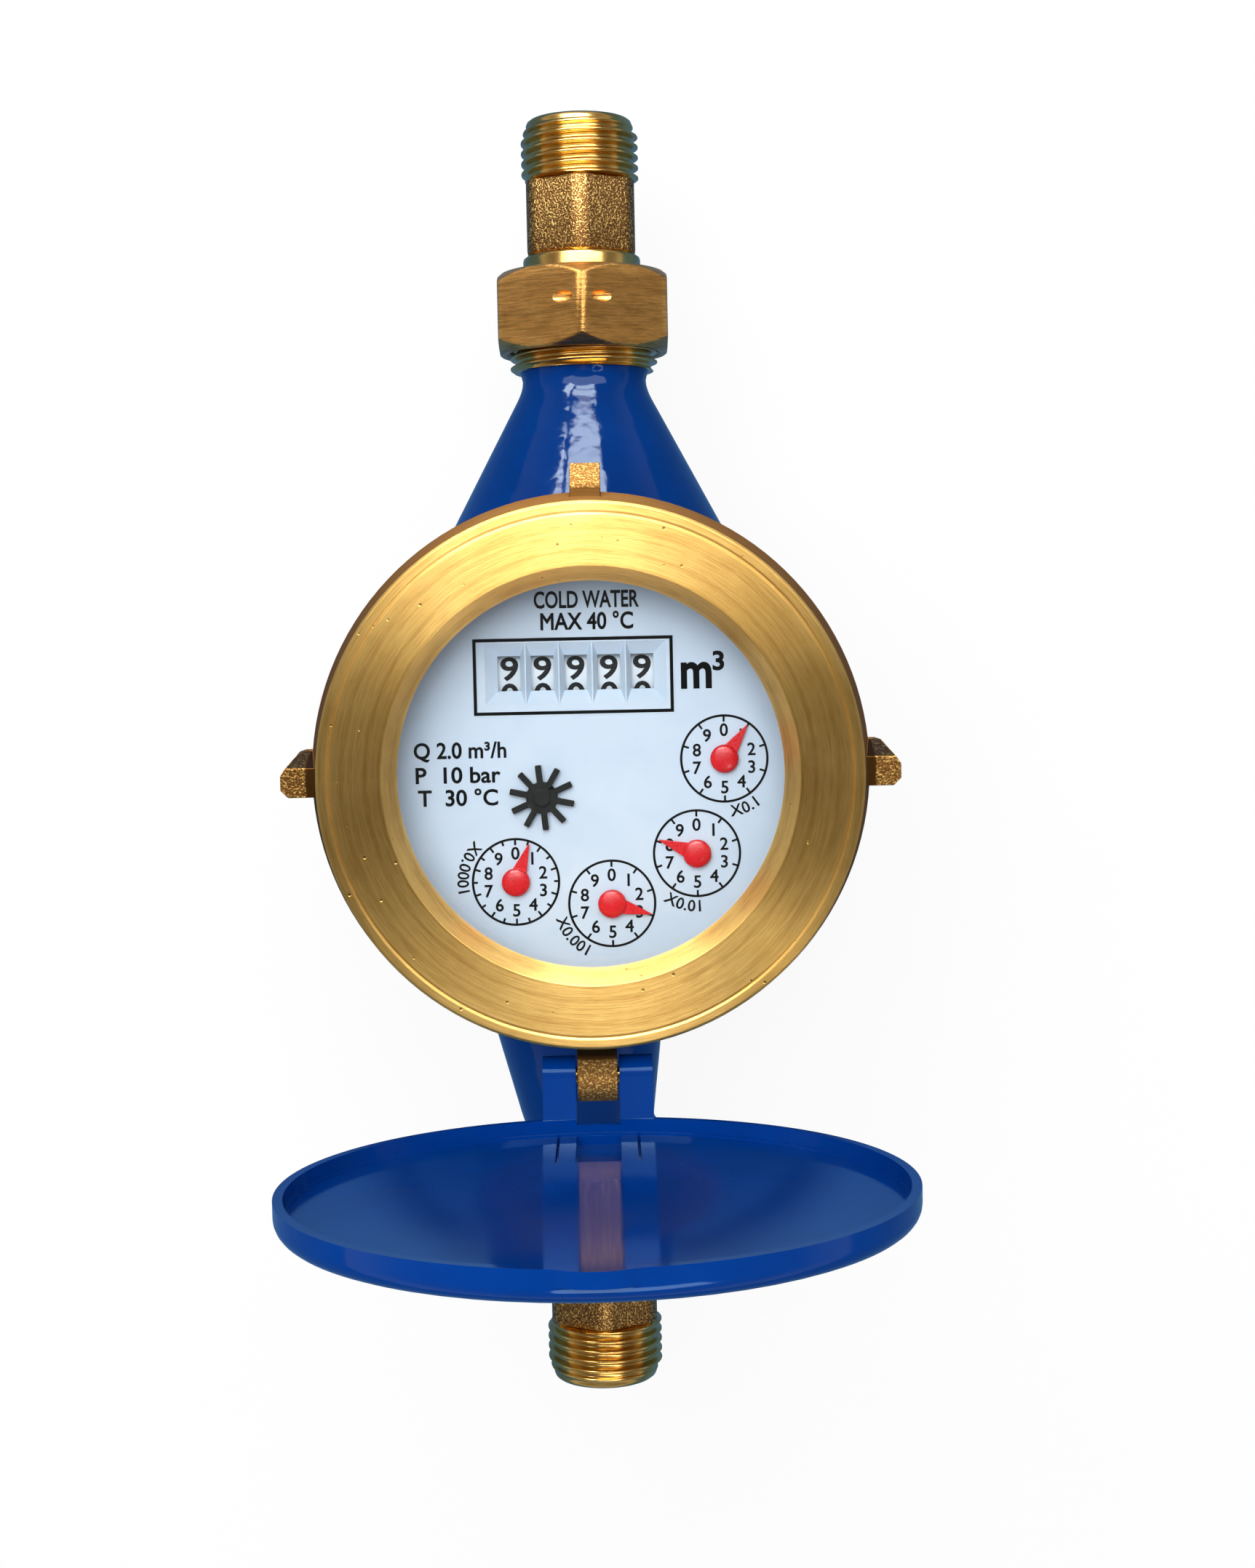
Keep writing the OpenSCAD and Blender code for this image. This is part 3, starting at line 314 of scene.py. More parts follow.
# %% Finish: unions, with turned collars and threads and a cast hexagon
GRAIN_FROM, GRAIN_TO = 90.0, 103.1
union_brass, tree, skin = new_finish("union_brass", Metallic=1.0)
x, y, z = millimetres(tree)
out = sums(tree, "ABSOLUTE", y)
starts = ramp(tree, out, GRAIN_FROM, GRAIN_FROM + 0.3)
cast = times(tree, starts, ramp(tree, out, GRAIN_TO, GRAIN_TO - 0.3))
lathe = use(tree, rings, Along=out, Pitch=0.3)
sand = use(tree, grain, Size=0.3)
tone = use(tree, drift, Base=GOLD, Other=BRONZE, Size=6.0, Amount=0.5)["Color"]
tone = between(tree, ramp(tree, lathe["Tone"], 0.5, 0.8, 0.0, 0.4), tone, BRONZE)
rough = between(tree, sand["Crest"], screen(112, 76, 42), GOLD)
tree.links.new(between(tree, cast, tone, rough), skin["Base Color"])
tree.links.new(ramp(tree, cast, 0.0, 1.0, 0.21, 0.36), skin["Roughness"])
bump(tree, skin, times(tree, sand["Height"], cast), depth=0.13)
print("finish:", union_brass.name)

# %% Finish: union nuts, milled flats with fine lines
nut_brass, tree, skin = new_finish("nut_brass", Metallic=1.0)
x, y, z = millimetres(tree)
lines = use(tree, rings, Along=y, Pitch=0.42, Around=times(tree, x, 0.03))
sand = use(tree, grain, Size=0.35)
rub = use(tree, edges, Width=0.5)["Mask"]
orange, tan = screen(242, 180, 101), screen(206, 148, 76)
tone = use(tree, drift, Base=orange, Other=tan, Size=7.0, Amount=0.7)["Color"]
tone = between(tree, ramp(tree, lines["Height"], 0.42, 0.62, 0.0, 0.48), tone, UMBER)
tree.links.new(between(tree, times(tree, rub, 0.7), tone, GOLD), skin["Base Color"])
tree.links.new(ramp(tree, lines["Tone"], 0.3, 0.8, 0.26, 0.42), skin["Roughness"])
height = plus(tree, times(tree, lines["Height"], 0.9), times(tree, sand["Height"], 0.25))
bump(tree, skin, height, depth=0.1)
print("finish:", nut_brass.name)

# %% Finish: hinge pin
pin_brass, tree, skin = new_finish("pin_brass", Metallic=1.0, Roughness=0.25)
x, y, z = millimetres(tree)
lathe = use(tree, rings, Along=x, Pitch=0.2)
tone = use(tree, drift, Base=GOLD, Other=BRONZE, Size=2.0, Amount=0.6)["Color"]
tree.links.new(tone, skin["Base Color"])
bump(tree, skin, lathe["Height"], depth=0.01)
print("finish:", pin_brass.name)

# %% [markdown]
# ## Paint and plastic
# The casting is dipped in thick blue enamel, which flows into soft ripples and shines like
# glass. The lid is moulded in a brighter blue with calmer ripples, and its plate mirrors the
# room as a shallow dish would. Its solid is flat, and so faint a dish is hardly worth modelling:
# a bump as high as the dish bends the mirror images just as well. The many small mouldings
# share one recipe, with a colour, a shade and a gloss for each.


# %% Finishes: blue enamel and blue lid
def glossy_blue(name, deep, bright, ripple, wild, polish, **shader):
    material, tree, skin = new_finish(name, **shader)
    tone = use(tree, drift, Base=deep, Other=bright, Size=9.0, Amount=0.5)["Color"]
    tree.links.new(tone, skin["Base Color"])
    flow = noise(tree, place(tree), 1 / (ripple * MM), wild)
    dust = use(tree, specks, Spacing=4.0, Size=0.12, Share=0.25)["Mask"]
    gloss = ramp(tree, flow, 0.3, 0.7, polish, polish + 0.06)
    tree.links.new(plus(tree, gloss, times(tree, dust, 0.3)), skin["Roughness"])
    return material, tree, skin, flow


body_enamel, tree, skin, flow = glossy_blue(
    "body_enamel", screen(0, 50, 122), screen(0, 57, 136), ripple=5.0, wild=2.5, polish=0.05,
    Specular_IOR_Level=0.15, Specular_Tint=(0.7, 0.88, 1, 1), Coat_Weight=0.1, Coat_Roughness=0.02,
)
bump(tree, skin, flow, depth=0.16)
lid_blue, tree, skin, flow = glossy_blue(
    "lid_blue", screen(0, 53, 134), screen(0, 59, 148), ripple=26.0, wild=1.0, polish=0.07,
    Specular_IOR_Level=0.3, Specular_Tint=(0.45, 0.78, 1, 1),
)
LID_MIDDLE = 134.4
DISH_RADIUS = 400.0
x, y, z = millimetres(tree)
up = sums(tree, "SUBTRACT", z, LID_MIDDLE)
square = plus(tree, times(tree, x, x), times(tree, up, up))
dish = sums(tree, "DIVIDE", square, 2 * DISH_RADIUS)
bump(tree, skin, plus(tree, dish, times(tree, flow, 0.03)), depth=1.0)
print("finishes:", body_enamel.name, lid_blue.name)


# %% Finishes: moulded plastics, rubber, fibre and ink
def moulded(name, colour, shade, gloss, size, shader):
    material, tree, skin = new_finish(name, **shader)
    tone = use(tree, drift, Base=screen(*colour), Other=screen(*shade), Size=size, Amount=0.5)["Color"]
    dirt = use(tree, specks, Spacing=2.6, Size=0.1, Share=0.3)["Mask"]
    tree.links.new(between(tree, times(tree, dirt, 0.45), tone, screen(70, 72, 74)), skin["Base Color"])
    texture = use(tree, grain, Size=0.3)
    tree.links.new(ramp(tree, texture["Height"], 0.5, 1.1, gloss, gloss + 0.12), skin["Roughness"])
    bump(tree, skin, texture["Height"], depth=0.004)
    return material


DEEP = dict(Specular_IOR_Level=0.12)
GLOSSY = dict(Specular_IOR_Level=0.35, Coat_Weight=0.15, Coat_Roughness=0.1)
# Each row: name, colour, shade, roughness, size of the drift in mm, other shader values
plastics = {}
for name, colour, shade, gloss, size, shader in (
    ("dial_white", (206, 225, 243), (198, 218, 238), 0.45, 12.0, {}),
    ("mask_white", (208, 227, 244), (200, 220, 240), 0.4, 3.0, {}),
    ("register_white", (214, 220, 226), (200, 206, 214), 0.45, 3.0, {}),
    ("wheel_white", (224, 234, 240), (212, 224, 232), 0.4, 3.0, {}),
    ("gear_white", (226, 228, 226), (212, 214, 210), 0.4, 3.0, {}),
    ("pointer_red", (226, 6, 22), (212, 5, 20), 0.24, 3.0, GLOSSY),
    ("star_black", (20, 23, 21), (28, 31, 29), 0.6, 3.0, DEEP),
    ("chamber_plastic", (222, 218, 204), (208, 202, 186), 0.4, 3.0, {}),
    ("strainer_plastic", (216, 220, 222), (200, 206, 210), 0.4, 3.0, {}),
    ("rubber", (40, 40, 42), (52, 52, 54), 0.7, 3.0, {}),
    ("fibre", (150, 88, 52), (120, 68, 40), 0.8, 0.8, {}),
    ("ink_black", (20, 22, 26), (32, 34, 40), 0.5, 1.5, {}),
):
    plastics[name] = moulded(name, colour, shade, gloss, size, shader)
print("plastics:", ", ".join(plastics))

# %% Finish: steel wire
steel, tree, skin = new_finish("steel", Metallic=1.0, Roughness=0.3)
x, y, z = millimetres(tree)
drawn = use(tree, rings, Along=plus(tree, y, z), Pitch=0.1)
light, dark = screen(196, 198, 202), screen(150, 152, 158)
tone = use(tree, drift, Base=light, Other=dark, Size=2.0, Amount=0.5)["Color"]
tree.links.new(tone, skin["Base Color"])
bump(tree, skin, drawn["Height"], depth=0.005)
print("finish:", steel.name)

# %% [markdown]
# ## Glass
# A clear disc closes the register. Pure refraction is right for what the eye sees, but a lamp's
# light would have to find its way through it by chance. So rays that only ask whether light
# gets through see a clear sheet, and all others see real glass with a faint haze of dust.


# %% Finish: sight glass
def mix_in(tree, share, other):
    surface = next(n for n in tree.nodes if n.type == "BSDF_PRINCIPLED").outputs[0]
    end = next(n for n in tree.nodes if n.type == "OUTPUT_MATERIAL").inputs["Surface"]
    both = put(tree, "ShaderNodeMixShader", {0: share, 1: surface, 2: other})
    tree.links.new(both.outputs[0], end)


glass, tree, skin = new_finish("glass", Transmission_Weight=1.0, IOR=1.45)
tint = use(tree, drift, Base=(1, 1, 1, 1), Other=screen(238, 246, 250), Size=8.0, Amount=0.6)["Color"]
tree.links.new(tint, skin["Base Color"])
haze = use(tree, specks, Spacing=5.0, Size=0.12, Share=0.3)["Mask"]
tree.links.new(times(tree, haze, 0.25), skin["Roughness"])
path = put(tree, "ShaderNodeLightPath").outputs
passing = sums(tree, "MAXIMUM", path["Is Shadow Ray"], path["Is Diffuse Ray"])
mix_in(tree, passing, put(tree, "ShaderNodeBsdfTransparent").outputs[0])
print("finish:", glass.name)

# %% [markdown]
# ## Finishes on the solids
# The record names a material slot for every solid. Most solids sit inside the meter and keep
# their shape as it is; they only take the finish of their slot. The pieces that show most are
# built afresh in the next steps and stand in for their solids.

# %% Paint every solid by its slot
finishes = dict(
    plastics, ring_brass=ring_brass, union_brass=union_brass, pin_brass=pin_brass,
    body_enamel=body_enamel, lid_blue=lid_blue, steel=steel, glass=glass,
)
slot_of = {row["node"]: row["material_slot"] for row in frame["record"]["subparts"]}
for name, solid in solids.items():
    solid.data.materials.clear()
    solid.data.materials.append(finishes[slot_of[name]])
print("painted", len(solids), "solids in", len(set(slot_of.values())), "finishes")

# %% [markdown]
# ## Turned shapes
# Most of the meter is turned on a lathe or moulded round. A turned shape is a closed loop of
# points, each a height and a radius, swept round an axis. Letting the radius depend on the
# angle as well gives hexagons and threads with the same few lines.


# %% Finished pieces
def finished(name, shell, body, node, finish, corner=35):
    bmesh.ops.recalc_face_normals(shell, faces=shell.faces)
    mesh = bpy.data.meshes.new(name)
    shell.to_mesh(mesh)
    shell.free()
    mesh.materials.append(finish)
    mesh.shade_smooth()
    mesh.set_sharp_from_angle(angle=math.radians(corner))
    piece = bpy.data.objects.new(name, mesh)
    scene.collection.objects.link(piece)
    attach(piece, body)
    if node:
        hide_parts(node)
    return piece


print("pieces get a smooth mesh, a finish, a body and a slot")

# %% Turning tool
PIPE_HEIGHT = 36.0
ENDS = {"inlet": 1, "outlet": -1}


def turned(rows, steps, side):
    shell = bmesh.new()
    loops = []
    for along, radius in rows:
        loop = []
        for k in range(steps):
            angle = 2 * math.pi * k / steps
            wide = radius(angle) if callable(radius) else radius
            across, up = wide * math.sin(angle), PIPE_HEIGHT + wide * math.cos(angle)
            loop.append(shell.verts.new((across * MM, side * along * MM, up * MM)))
        loops.append(loop)
    for first, second in zip(loops, loops[1:] + loops[:1]):
        for k in range(steps):
            n = (k + 1) % steps
            shell.faces.new((first[k], first[n], second[n], second[k]))
    return shell


print("turning round the pipe's axis,", PIPE_HEIGHT, "mm up")

# %% [markdown]
# ## Softened solids
# A casting has no knife edges: sand, tumbling and paint round them all. For pieces whose solid
# already has the right outline, the quickest way is to copy its mesh, clean away the splits
# between its faces, and bevel every sharp edge by a little. Weighted normals then keep the big
# flat faces flat, so that they mirror without a kink.

# %% Softening tool
SAME_SPOT = 0.002
FLAT_ANGLE = math.radians(1.5)
SHARP_ANGLE = math.radians(28)


def softened(name, node, body, finish, width):
    shell = bmesh.new()
    shell.from_mesh(solids[node].data)
    bmesh.ops.remove_doubles(shell, verts=shell.verts, dist=SAME_SPOT * MM)
    bmesh.ops.dissolve_limit(
        shell, angle_limit=FLAT_ANGLE, verts=shell.verts, edges=shell.edges, delimit=set()
    )
    piece = finished(name, shell, body, node, finish)
    round_off = piece.modifiers.new("rounded edges", "BEVEL")
    round_off.limit_method = "ANGLE"
    round_off.angle_limit = SHARP_ANGLE
    round_off.width = width * MM
    round_off.segments = 3
    shading = piece.modifiers.new("flat faces stay flat", "WEIGHTED_NORMAL")
    shading.weight = 100
    shading.keep_sharp = True
    return piece


print("softening tool ready")

# %% [markdown]
# ## Body
# The body is one brass casting: a bowl for the works, two pipe arms and heavy fillets between
# them, all drowned in enamel. Modelling every fillet by hand is slow. Remeshing the solid to
# small even cells and smoothing them melts the corners together, much as sand and paint do.
# The spigots are thinned first, to make room for their threads.

# %% Melted casting
THREAD_ROOT = 11.9
THREAD_FROM = 69.5
CELL, QUICK_CELL = 0.9, 2.0
shell = bmesh.new()
shell.from_mesh(solids["body_casting"].data)
bmesh.ops.remove_doubles(shell, verts=shell.verts, dist=SAME_SPOT * MM)
for vert in shell.verts:
    across = Vector((vert.co.x, 0, vert.co.z - PIPE_HEIGHT * MM))
    if abs(vert.co.y) > (THREAD_FROM - 0.1) * MM and across.length > THREAD_ROOT * MM:
        across = across.normalized() * THREAD_ROOT * MM
        vert.co = (across.x, vert.co.y, across.z + PIPE_HEIGHT * MM)
body = finished("body_melted", shell, "meter", "body_casting", body_enamel)
melt = body.modifiers.new("even cells", "REMESH")
melt.mode = "VOXEL"
melt.voxel_size = CELL * MM
melt.use_smooth_shade = True
soft = body.modifiers.new("soft corners", "SMOOTH")
soft.factor = 0.5
soft.iterations = 6
print("body cells:", round(melt.voxel_size / MM, 2), "mm")

# %% [markdown]
# ## Pipe threads
# Both ends of the body and both tailpieces carry pipe threads. A thread is a ridge that climbs
# one pitch in each turn. Sweeping one tooth profile along a helix is exact but makes awkward
# ends; letting the radius of a turned shape follow the helix makes a closed shell at once.

# %% Thread tool
PITCH = 1.814
ROWS_PER_PITCH = 20
ROOT_SHARE, FLANK_SHARE = 0.2, 0.7
SINK = 0.75


def thread_rows(start, end, crest, depth, run_out):
    def tooth(along):
        def radius(angle):
            phase = (along / PITCH - angle / (2 * math.pi)) % 1.0
            lift = min(max((abs(2 * phase - 1) - ROOT_SHARE) / FLANK_SHARE, 0.0), 1.0)
            lift = lift * lift * (3 - 2 * lift)
            fade = min(1.0, max(0.0, (end - along) / run_out))
            return crest - SINK * depth * (1 - fade) - depth * (1 - lift) * (1 - SINK + SINK * fade)

        return radius

    count = max(2, round((end - start) / PITCH * ROWS_PER_PITCH))
    stations = [start + (end - start) * k / count for k in range(count + 1)]
    return [(along, tooth(along)) for along in stations]


print("thread tool ready, pitch", PITCH, "mm")

# %% Threads on the body's spigots
SPIGOT_CREST, SPIGOT_DEPTH = 13.22, 1.16
SPIGOT_TO, SPIGOT_BORE = 81.7, 11.2
for label, side in ENDS.items():
    rows = [(THREAD_FROM + 0.1, SPIGOT_BORE), (THREAD_FROM + 0.1, 12.5)]
    rows += thread_rows(THREAD_FROM + 0.6, SPIGOT_TO - 0.5, SPIGOT_CREST, SPIGOT_DEPTH, run_out=2.0)
    rows += [(SPIGOT_TO, 12.0), (SPIGOT_TO, SPIGOT_BORE)]
    shell = turned(rows, steps=96, side=side)
    name = label + "_spigot_thread"
    thread = finished(name, shell, "meter", None, union_brass, corner=60)
    print(thread.name, len(thread.data.polygons), "faces")

# %% [markdown]
# ## Tailpieces
# A tailpiece is the short tube that joins the meter to the pipe: a flange and a smooth collar
# under the nut, a hexagon for the spanner and an outside thread. It starts as a forging, so the
# hexagon keeps a grainy skin while collar and thread are turned bright.

# %% Six rounded flats
CORNER_SHARE = 0.35


def hexagon(flats, corner_radius, limit):
    def radius(angle):
        turn = (angle + math.pi / 6) % (math.pi / 3) - math.pi / 6
        turn = math.pi / 6 - abs(turn)
        flat = flats / 2 / math.cos(turn)
        if flat > corner_radius:
            flat = corner_radius + CORNER_SHARE * (flat - corner_radius)
        return min(flat, limit)

    return radius


def inset(shape, amount):
    return lambda angle: shape(angle) - amount


TAIL_HEX = hexagon(flats=19.2, corner_radius=10.4, limit=10.6)
print("hexagon corner:", round(TAIL_HEX(0.0), 2), "mm from the axis")

# %% Turn both tailpieces
FLANGE_FROM, FLANGE_TO, FLANGE = 83.3, 85.08, 12.4
COLLAR, BORE = 10.5, 7.5
HEX_FROM, HEX_TO = 89.9, 103.2
TAIL_CREST, TAIL_DEPTH, TAIL_END = 10.48, 1.1, 114.0
for label, side in ENDS.items():
    rows = [(FLANGE_FROM, BORE), (FLANGE_FROM, FLANGE - 0.2), (FLANGE_FROM + 0.2, FLANGE)]
    rows += [(FLANGE_TO - 0.18, FLANGE), (FLANGE_TO, FLANGE - 0.2), (FLANGE_TO, COLLAR + 0.2)]
    rows += [(FLANGE_TO + 0.32, COLLAR), (HEX_FROM - 0.6, COLLAR), (HEX_FROM - 0.2, COLLAR - 0.12)]
    rows += [(HEX_FROM, COLLAR - 0.4), (HEX_FROM, inset(TAIL_HEX, 0.4))]
    rows += [(HEX_FROM + 0.3, inset(TAIL_HEX, 0.1)), (HEX_FROM + 0.7, TAIL_HEX), (HEX_TO - 0.5, TAIL_HEX)]
    rows += [(HEX_TO - 0.2, inset(TAIL_HEX, 0.15)), (HEX_TO, inset(TAIL_HEX, 0.5))]
    rows += thread_rows(HEX_TO + 0.2, TAIL_END - 1.2, TAIL_CREST, TAIL_DEPTH, run_out=1.8)
    rows += [(TAIL_END - 0.8, 9.5), (TAIL_END - 0.3, 9.3), (TAIL_END, 8.9), (TAIL_END, 8.0)]
    rows += [(TAIL_END - 0.6, BORE)]
    shell = turned(rows, steps=144, side=side)
    name, node = label + "_tail_turned", label + "_tailpiece"
    tail = finished(name, shell, "meter", node, union_brass, corner=50)
    print(tail.name, len(tail.data.polygons), "faces")

# %% [markdown]
# ## Union nuts
# Each nut is cut from hexagon bar. Its outer rims are turned to a shallow cone, which leaves the
# curved line where cone and flats meet, and a hole through a corner takes the wire of a seal.
# The cone is a limit on the radius that tightens towards both ends; the hole is a boolean cut.

# %% Nuts with conical rims
NUT_FLATS, NUT_CORNER = 30.0, 17.1
NUT_FROM, NUT_TO = 72.7, 86.9
NUT_BORE, NUT_MOUTH, NUT_LIP = 13.35, 10.8, 1.75
CONE_LOW, CONE_RISE, CONE_RUN, CONE_STEPS = 14.75, 2.4, 2.0, 8
shares = [step / CONE_STEPS for step in range(CONE_STEPS + 1)]
cone = [hexagon(NUT_FLATS, NUT_CORNER, CONE_LOW + CONE_RISE * share) for share in shares]
for label, side in ENDS.items():
    rows = [(NUT_FROM + 0.5, NUT_BORE), (NUT_FROM, NUT_BORE + 0.55)]
    rows += [(NUT_FROM + CONE_RUN * share, shape) for share, shape in zip(shares, cone)]
    rows += [(NUT_TO - CONE_RUN * share, shape) for share, shape in zip(shares[::-1], cone[::-1])]
    rows += [(NUT_TO, NUT_MOUTH + 0.3), (NUT_TO - 0.3, NUT_MOUTH)]
    rows += [(NUT_TO - NUT_LIP, NUT_MOUTH), (NUT_TO - NUT_LIP, NUT_BORE)]
    shell = turned(rows, steps=180, side=side)
    name, node = label + "_nut_cut", label + "_nut"
    nut = finished(name, shell, "meter", node, nut_brass, corner=32)
    print(nut.name, len(nut.data.polygons), "faces")


# %% Drill the seal holes
def drilled(piece, centre, radius, length):
    bpy.ops.mesh.primitive_cylinder_add(
        vertices=24, radius=radius * MM, depth=length * MM,
        location=[c * MM for c in centre], rotation=(0, math.pi / 2, 0),
    )
    drill = bpy.context.object
    hole = piece.modifiers.new("hole", "BOOLEAN")
    hole.object = drill
    hole.solver = "EXACT"
    ready = piece.evaluated_get(bpy.context.evaluated_depsgraph_get())
    cut = bpy.data.meshes.new_from_object(ready)
    piece.modifiers.clear()
    piece.data = cut
    bpy.data.objects.remove(drill)


SEAL_RADIUS = 1.0
SEAL_ALONG = NUT_FROM + 0.58 * (NUT_TO - NUT_FROM)
SEAL_HEIGHT = PIPE_HEIGHT + NUT_FLATS / math.sqrt(3) - 1.95
for label, side in ENDS.items():
    nut = bpy.data.objects[label + "_nut_cut"]
    drilled(nut, (0, side * SEAL_ALONG, SEAL_HEIGHT), SEAL_RADIUS, 2 * NUT_FLATS)
    print(nut.name, "drilled,", len(nut.data.polygons), "faces")

# %% [markdown]
# ## Cover ring and lid
# The ring is a brass casting, turned on its face and bore and left rough on the lugs. The lid
# is moulded, with a broad rim, and swings on a pin. These solids have the right outline
# already, so they are only softened, each by as much as its making would round it.

# %% Ring, lid and hinge pin
ring = softened("ring_softened", "cover_ring", "meter", ring_brass, width=0.45)
lid = softened("lid_softened", "lid", "lid", lid_blue, width=0.5)
pin = softened("pin_softened", "hinge_pin", "meter", pin_brass, width=0.2)
print("softened:", ring.name, lid.name, pin.name)

# %% [markdown]
# ## Register
# The register is what the owner reads. Five drums count whole cubic metres, four red pointers
# count the fractions, and a black star turns as soon as water runs. Pointers are moulded with a
# domed hub; a flat stamped needle would look too thin from the front.

# %% Pointers and star
star = softened("star_softened", "star_wheel", "star", plastics["star_black"], width=0.18)
print(star.name, len(star.data.polygons), "faces before rounding")
for number in range(1, 5):
    node = f"pointer_{number}"
    needle = softened(node + "_softened", node, node, plastics["pointer_red"], width=0.22)
    print(needle.name, len(needle.data.polygons), "faces before rounding")

# %% [markdown]
# ## Printing
# Dials are printed with ink pads, and the ink stands a hair above the plastic. An image would
# blur up close, so every line and letter is thin geometry here: strips, rings, and letters from
# the font that comes with Blender. A mapping function lays letters flat, on an arc or on a drum.


# %% Letters
def thicken(flat, amount):
    bmesh.ops.remove_doubles(flat, verts=flat.verts, dist=1e-5)
    moves = {}
    for vert in flat.verts:
        outward = []
        for edge in vert.link_edges:
            if len(edge.link_faces) == 1:
                start, end = [v.co for v in edge.verts]
                aside = Vector((end.y - start.y, start.x - end.x, 0)).normalized()
                inside = edge.link_faces[0].calc_center_median() - start
                outward.append(-aside if aside.dot(inside) > 0 else aside)
        if len(outward) == 2:
            first, second = outward
            moves[vert] = (first + second) / max(1 + first.dot(second), 0.4) * amount
    for vert, move in moves.items():
        vert.co += move


def letters(text, height, width=None, heavy=0.0):
    font = bpy.data.curves.new("lettering", "FONT")
    font.body = text
    font.resolution_u = 4
    writer = bpy.data.objects.new("lettering", font)
    mesh = bpy.data.meshes.new_from_object(writer)
    flat = bmesh.new()
    flat.from_mesh(mesh)
    thicken(flat, heavy)
    flat.verts.index_update()
    corners = [(v.co.x, v.co.y) for v in flat.verts]
    faces = [tuple(v.index for v in f.verts) for f in flat.faces]
    flat.free()
    bpy.data.objects.remove(writer)
    bpy.data.meshes.remove(mesh)
    left = min(x for x, y in corners)
    across = max(x for x, y in corners) - left
    tall = height / CAPITAL
    stretch = width / across if width else tall
    return [((x - left) * stretch, y * tall) for x, y in corners], faces


CAPITAL = 1.0
CAPITAL = max(y for x, y in letters("H", 1.0)[0])
print("capital letter is", round(CAPITAL, 3), "of the font size")

# %% Ink
INK_THICK = 0.02


def lay(sheet, corners, faces, spot):
    made = [sheet.verts.new(Vector(spot(x, y)) * MM) for x, y in corners]
    for face in faces:
        sheet.faces.new([made[k] for k in face])


def strip(sheet, start, end, width, height):
    along = (Vector(end) - Vector(start)).normalized()
    aside = Vector((-along.y, along.x)) * width / 2
    spots = [Vector(start) + aside, Vector(start) - aside, Vector(end) - aside, Vector(end) + aside]
    sheet.faces.new([sheet.verts.new(Vector((p.x, p.y, height)) * MM) for p in spots])


def ring_line(sheet, centre, radius, width, height, steps=96):
    turns = [2 * math.pi * k / steps for k in range(steps)]
    loops = []
    for r in (radius - width / 2, radius + width / 2):
        spots = [(centre[0] + r * math.cos(t), centre[1] + r * math.sin(t), height) for t in turns]
        loops.append([sheet.verts.new(Vector(p) * MM) for p in spots])
    for k in range(steps):
        n = (k + 1) % steps
        sheet.faces.new((loops[0][k], loops[0][n], loops[1][n], loops[1][k]))


def inked(name, sheet, body):
    bmesh.ops.solidify(sheet, geom=sheet.faces[:], thickness=INK_THICK * MM)
    return finished(name, sheet, body, None, plastics["ink_black"])


print("ink is", INK_THICK, "mm thick")

# %% Four small dials
INK = 78.53
DIAL_LINE, DIAL_WIDTH = 7.0, 0.38
TICK, SHORT_TICK, TICK_WIDTH = 1.0, 0.8, 0.34
DIGIT_LINE, DIGIT, DIGIT_DROP = 4.66, 1.95, 0.95
LABEL, LABEL_TOP, LABEL_MIDDLE = 1.8, 9.5, 8.6
labels = {1: ("X0.1", -69), 2: ("X0.01", -107), 3: ("X0.001", -142), 4: ("X0.0001", 162)}
for number, (text, heading) in labels.items():
    low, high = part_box(f"pointer_arbor_{number}")
    cx, cy = (low.x + high.x) / 2 / MM, (low.y + high.y) / 2 / MM
    sheet = bmesh.new()
    ring_line(sheet, (cx, cy), DIAL_LINE, DIAL_WIDTH, INK)
    marks = 20 if number == 4 else 10
    for k in range(marks):
        turn = math.radians(90 - 360 * k / marks)
        inner = DIAL_LINE - (TICK if k % 2 == 0 or marks == 10 else SHORT_TICK)
        tip = [(cx + r * math.cos(turn), cy + r * math.sin(turn)) for r in (inner, DIAL_LINE + 0.1)]
        strip(sheet, tip[0], tip[1], TICK_WIDTH, INK)
    for digit in range(10):
        corners, faces = letters(str(digit), DIGIT, heavy=0.018)
        wide = max(x for x, y in corners)
        turn = math.radians(90 - 36 * digit)
        dx = cx + DIGIT_LINE * math.cos(turn) - wide / 2
        dy = cy + DIGIT_LINE * math.sin(turn) - DIGIT_DROP
        lay(sheet, corners, faces, lambda x, y: (x + dx, y + dy, INK))
    corners, faces = letters(text, LABEL, heavy=0.016)
    wide = max(x for x, y in corners)

    def bend(x, y):
        turn = math.radians(heading) + (x - wide / 2) / LABEL_MIDDLE
        return (cx + (LABEL_TOP - y) * math.cos(turn), cy + (LABEL_TOP - y) * math.sin(turn), INK)

    lay(sheet, corners, faces, bend)
    print(inked(f"small_dial_{number}", sheet, "meter").name)

# %% Frame of the counter, unit and plain lines of text
sheet = bmesh.new()
left, right, bottom, top, line = -18.78, 13.62, 9.5, 21.9, 0.53
for y in (bottom + line / 2, top - line / 2):
    strip(sheet, (left, y), (right, y), line, INK)
for x in (left + line / 2, right - line / 2):
    strip(sheet, (x, bottom + line), (x, top - line), line, INK)
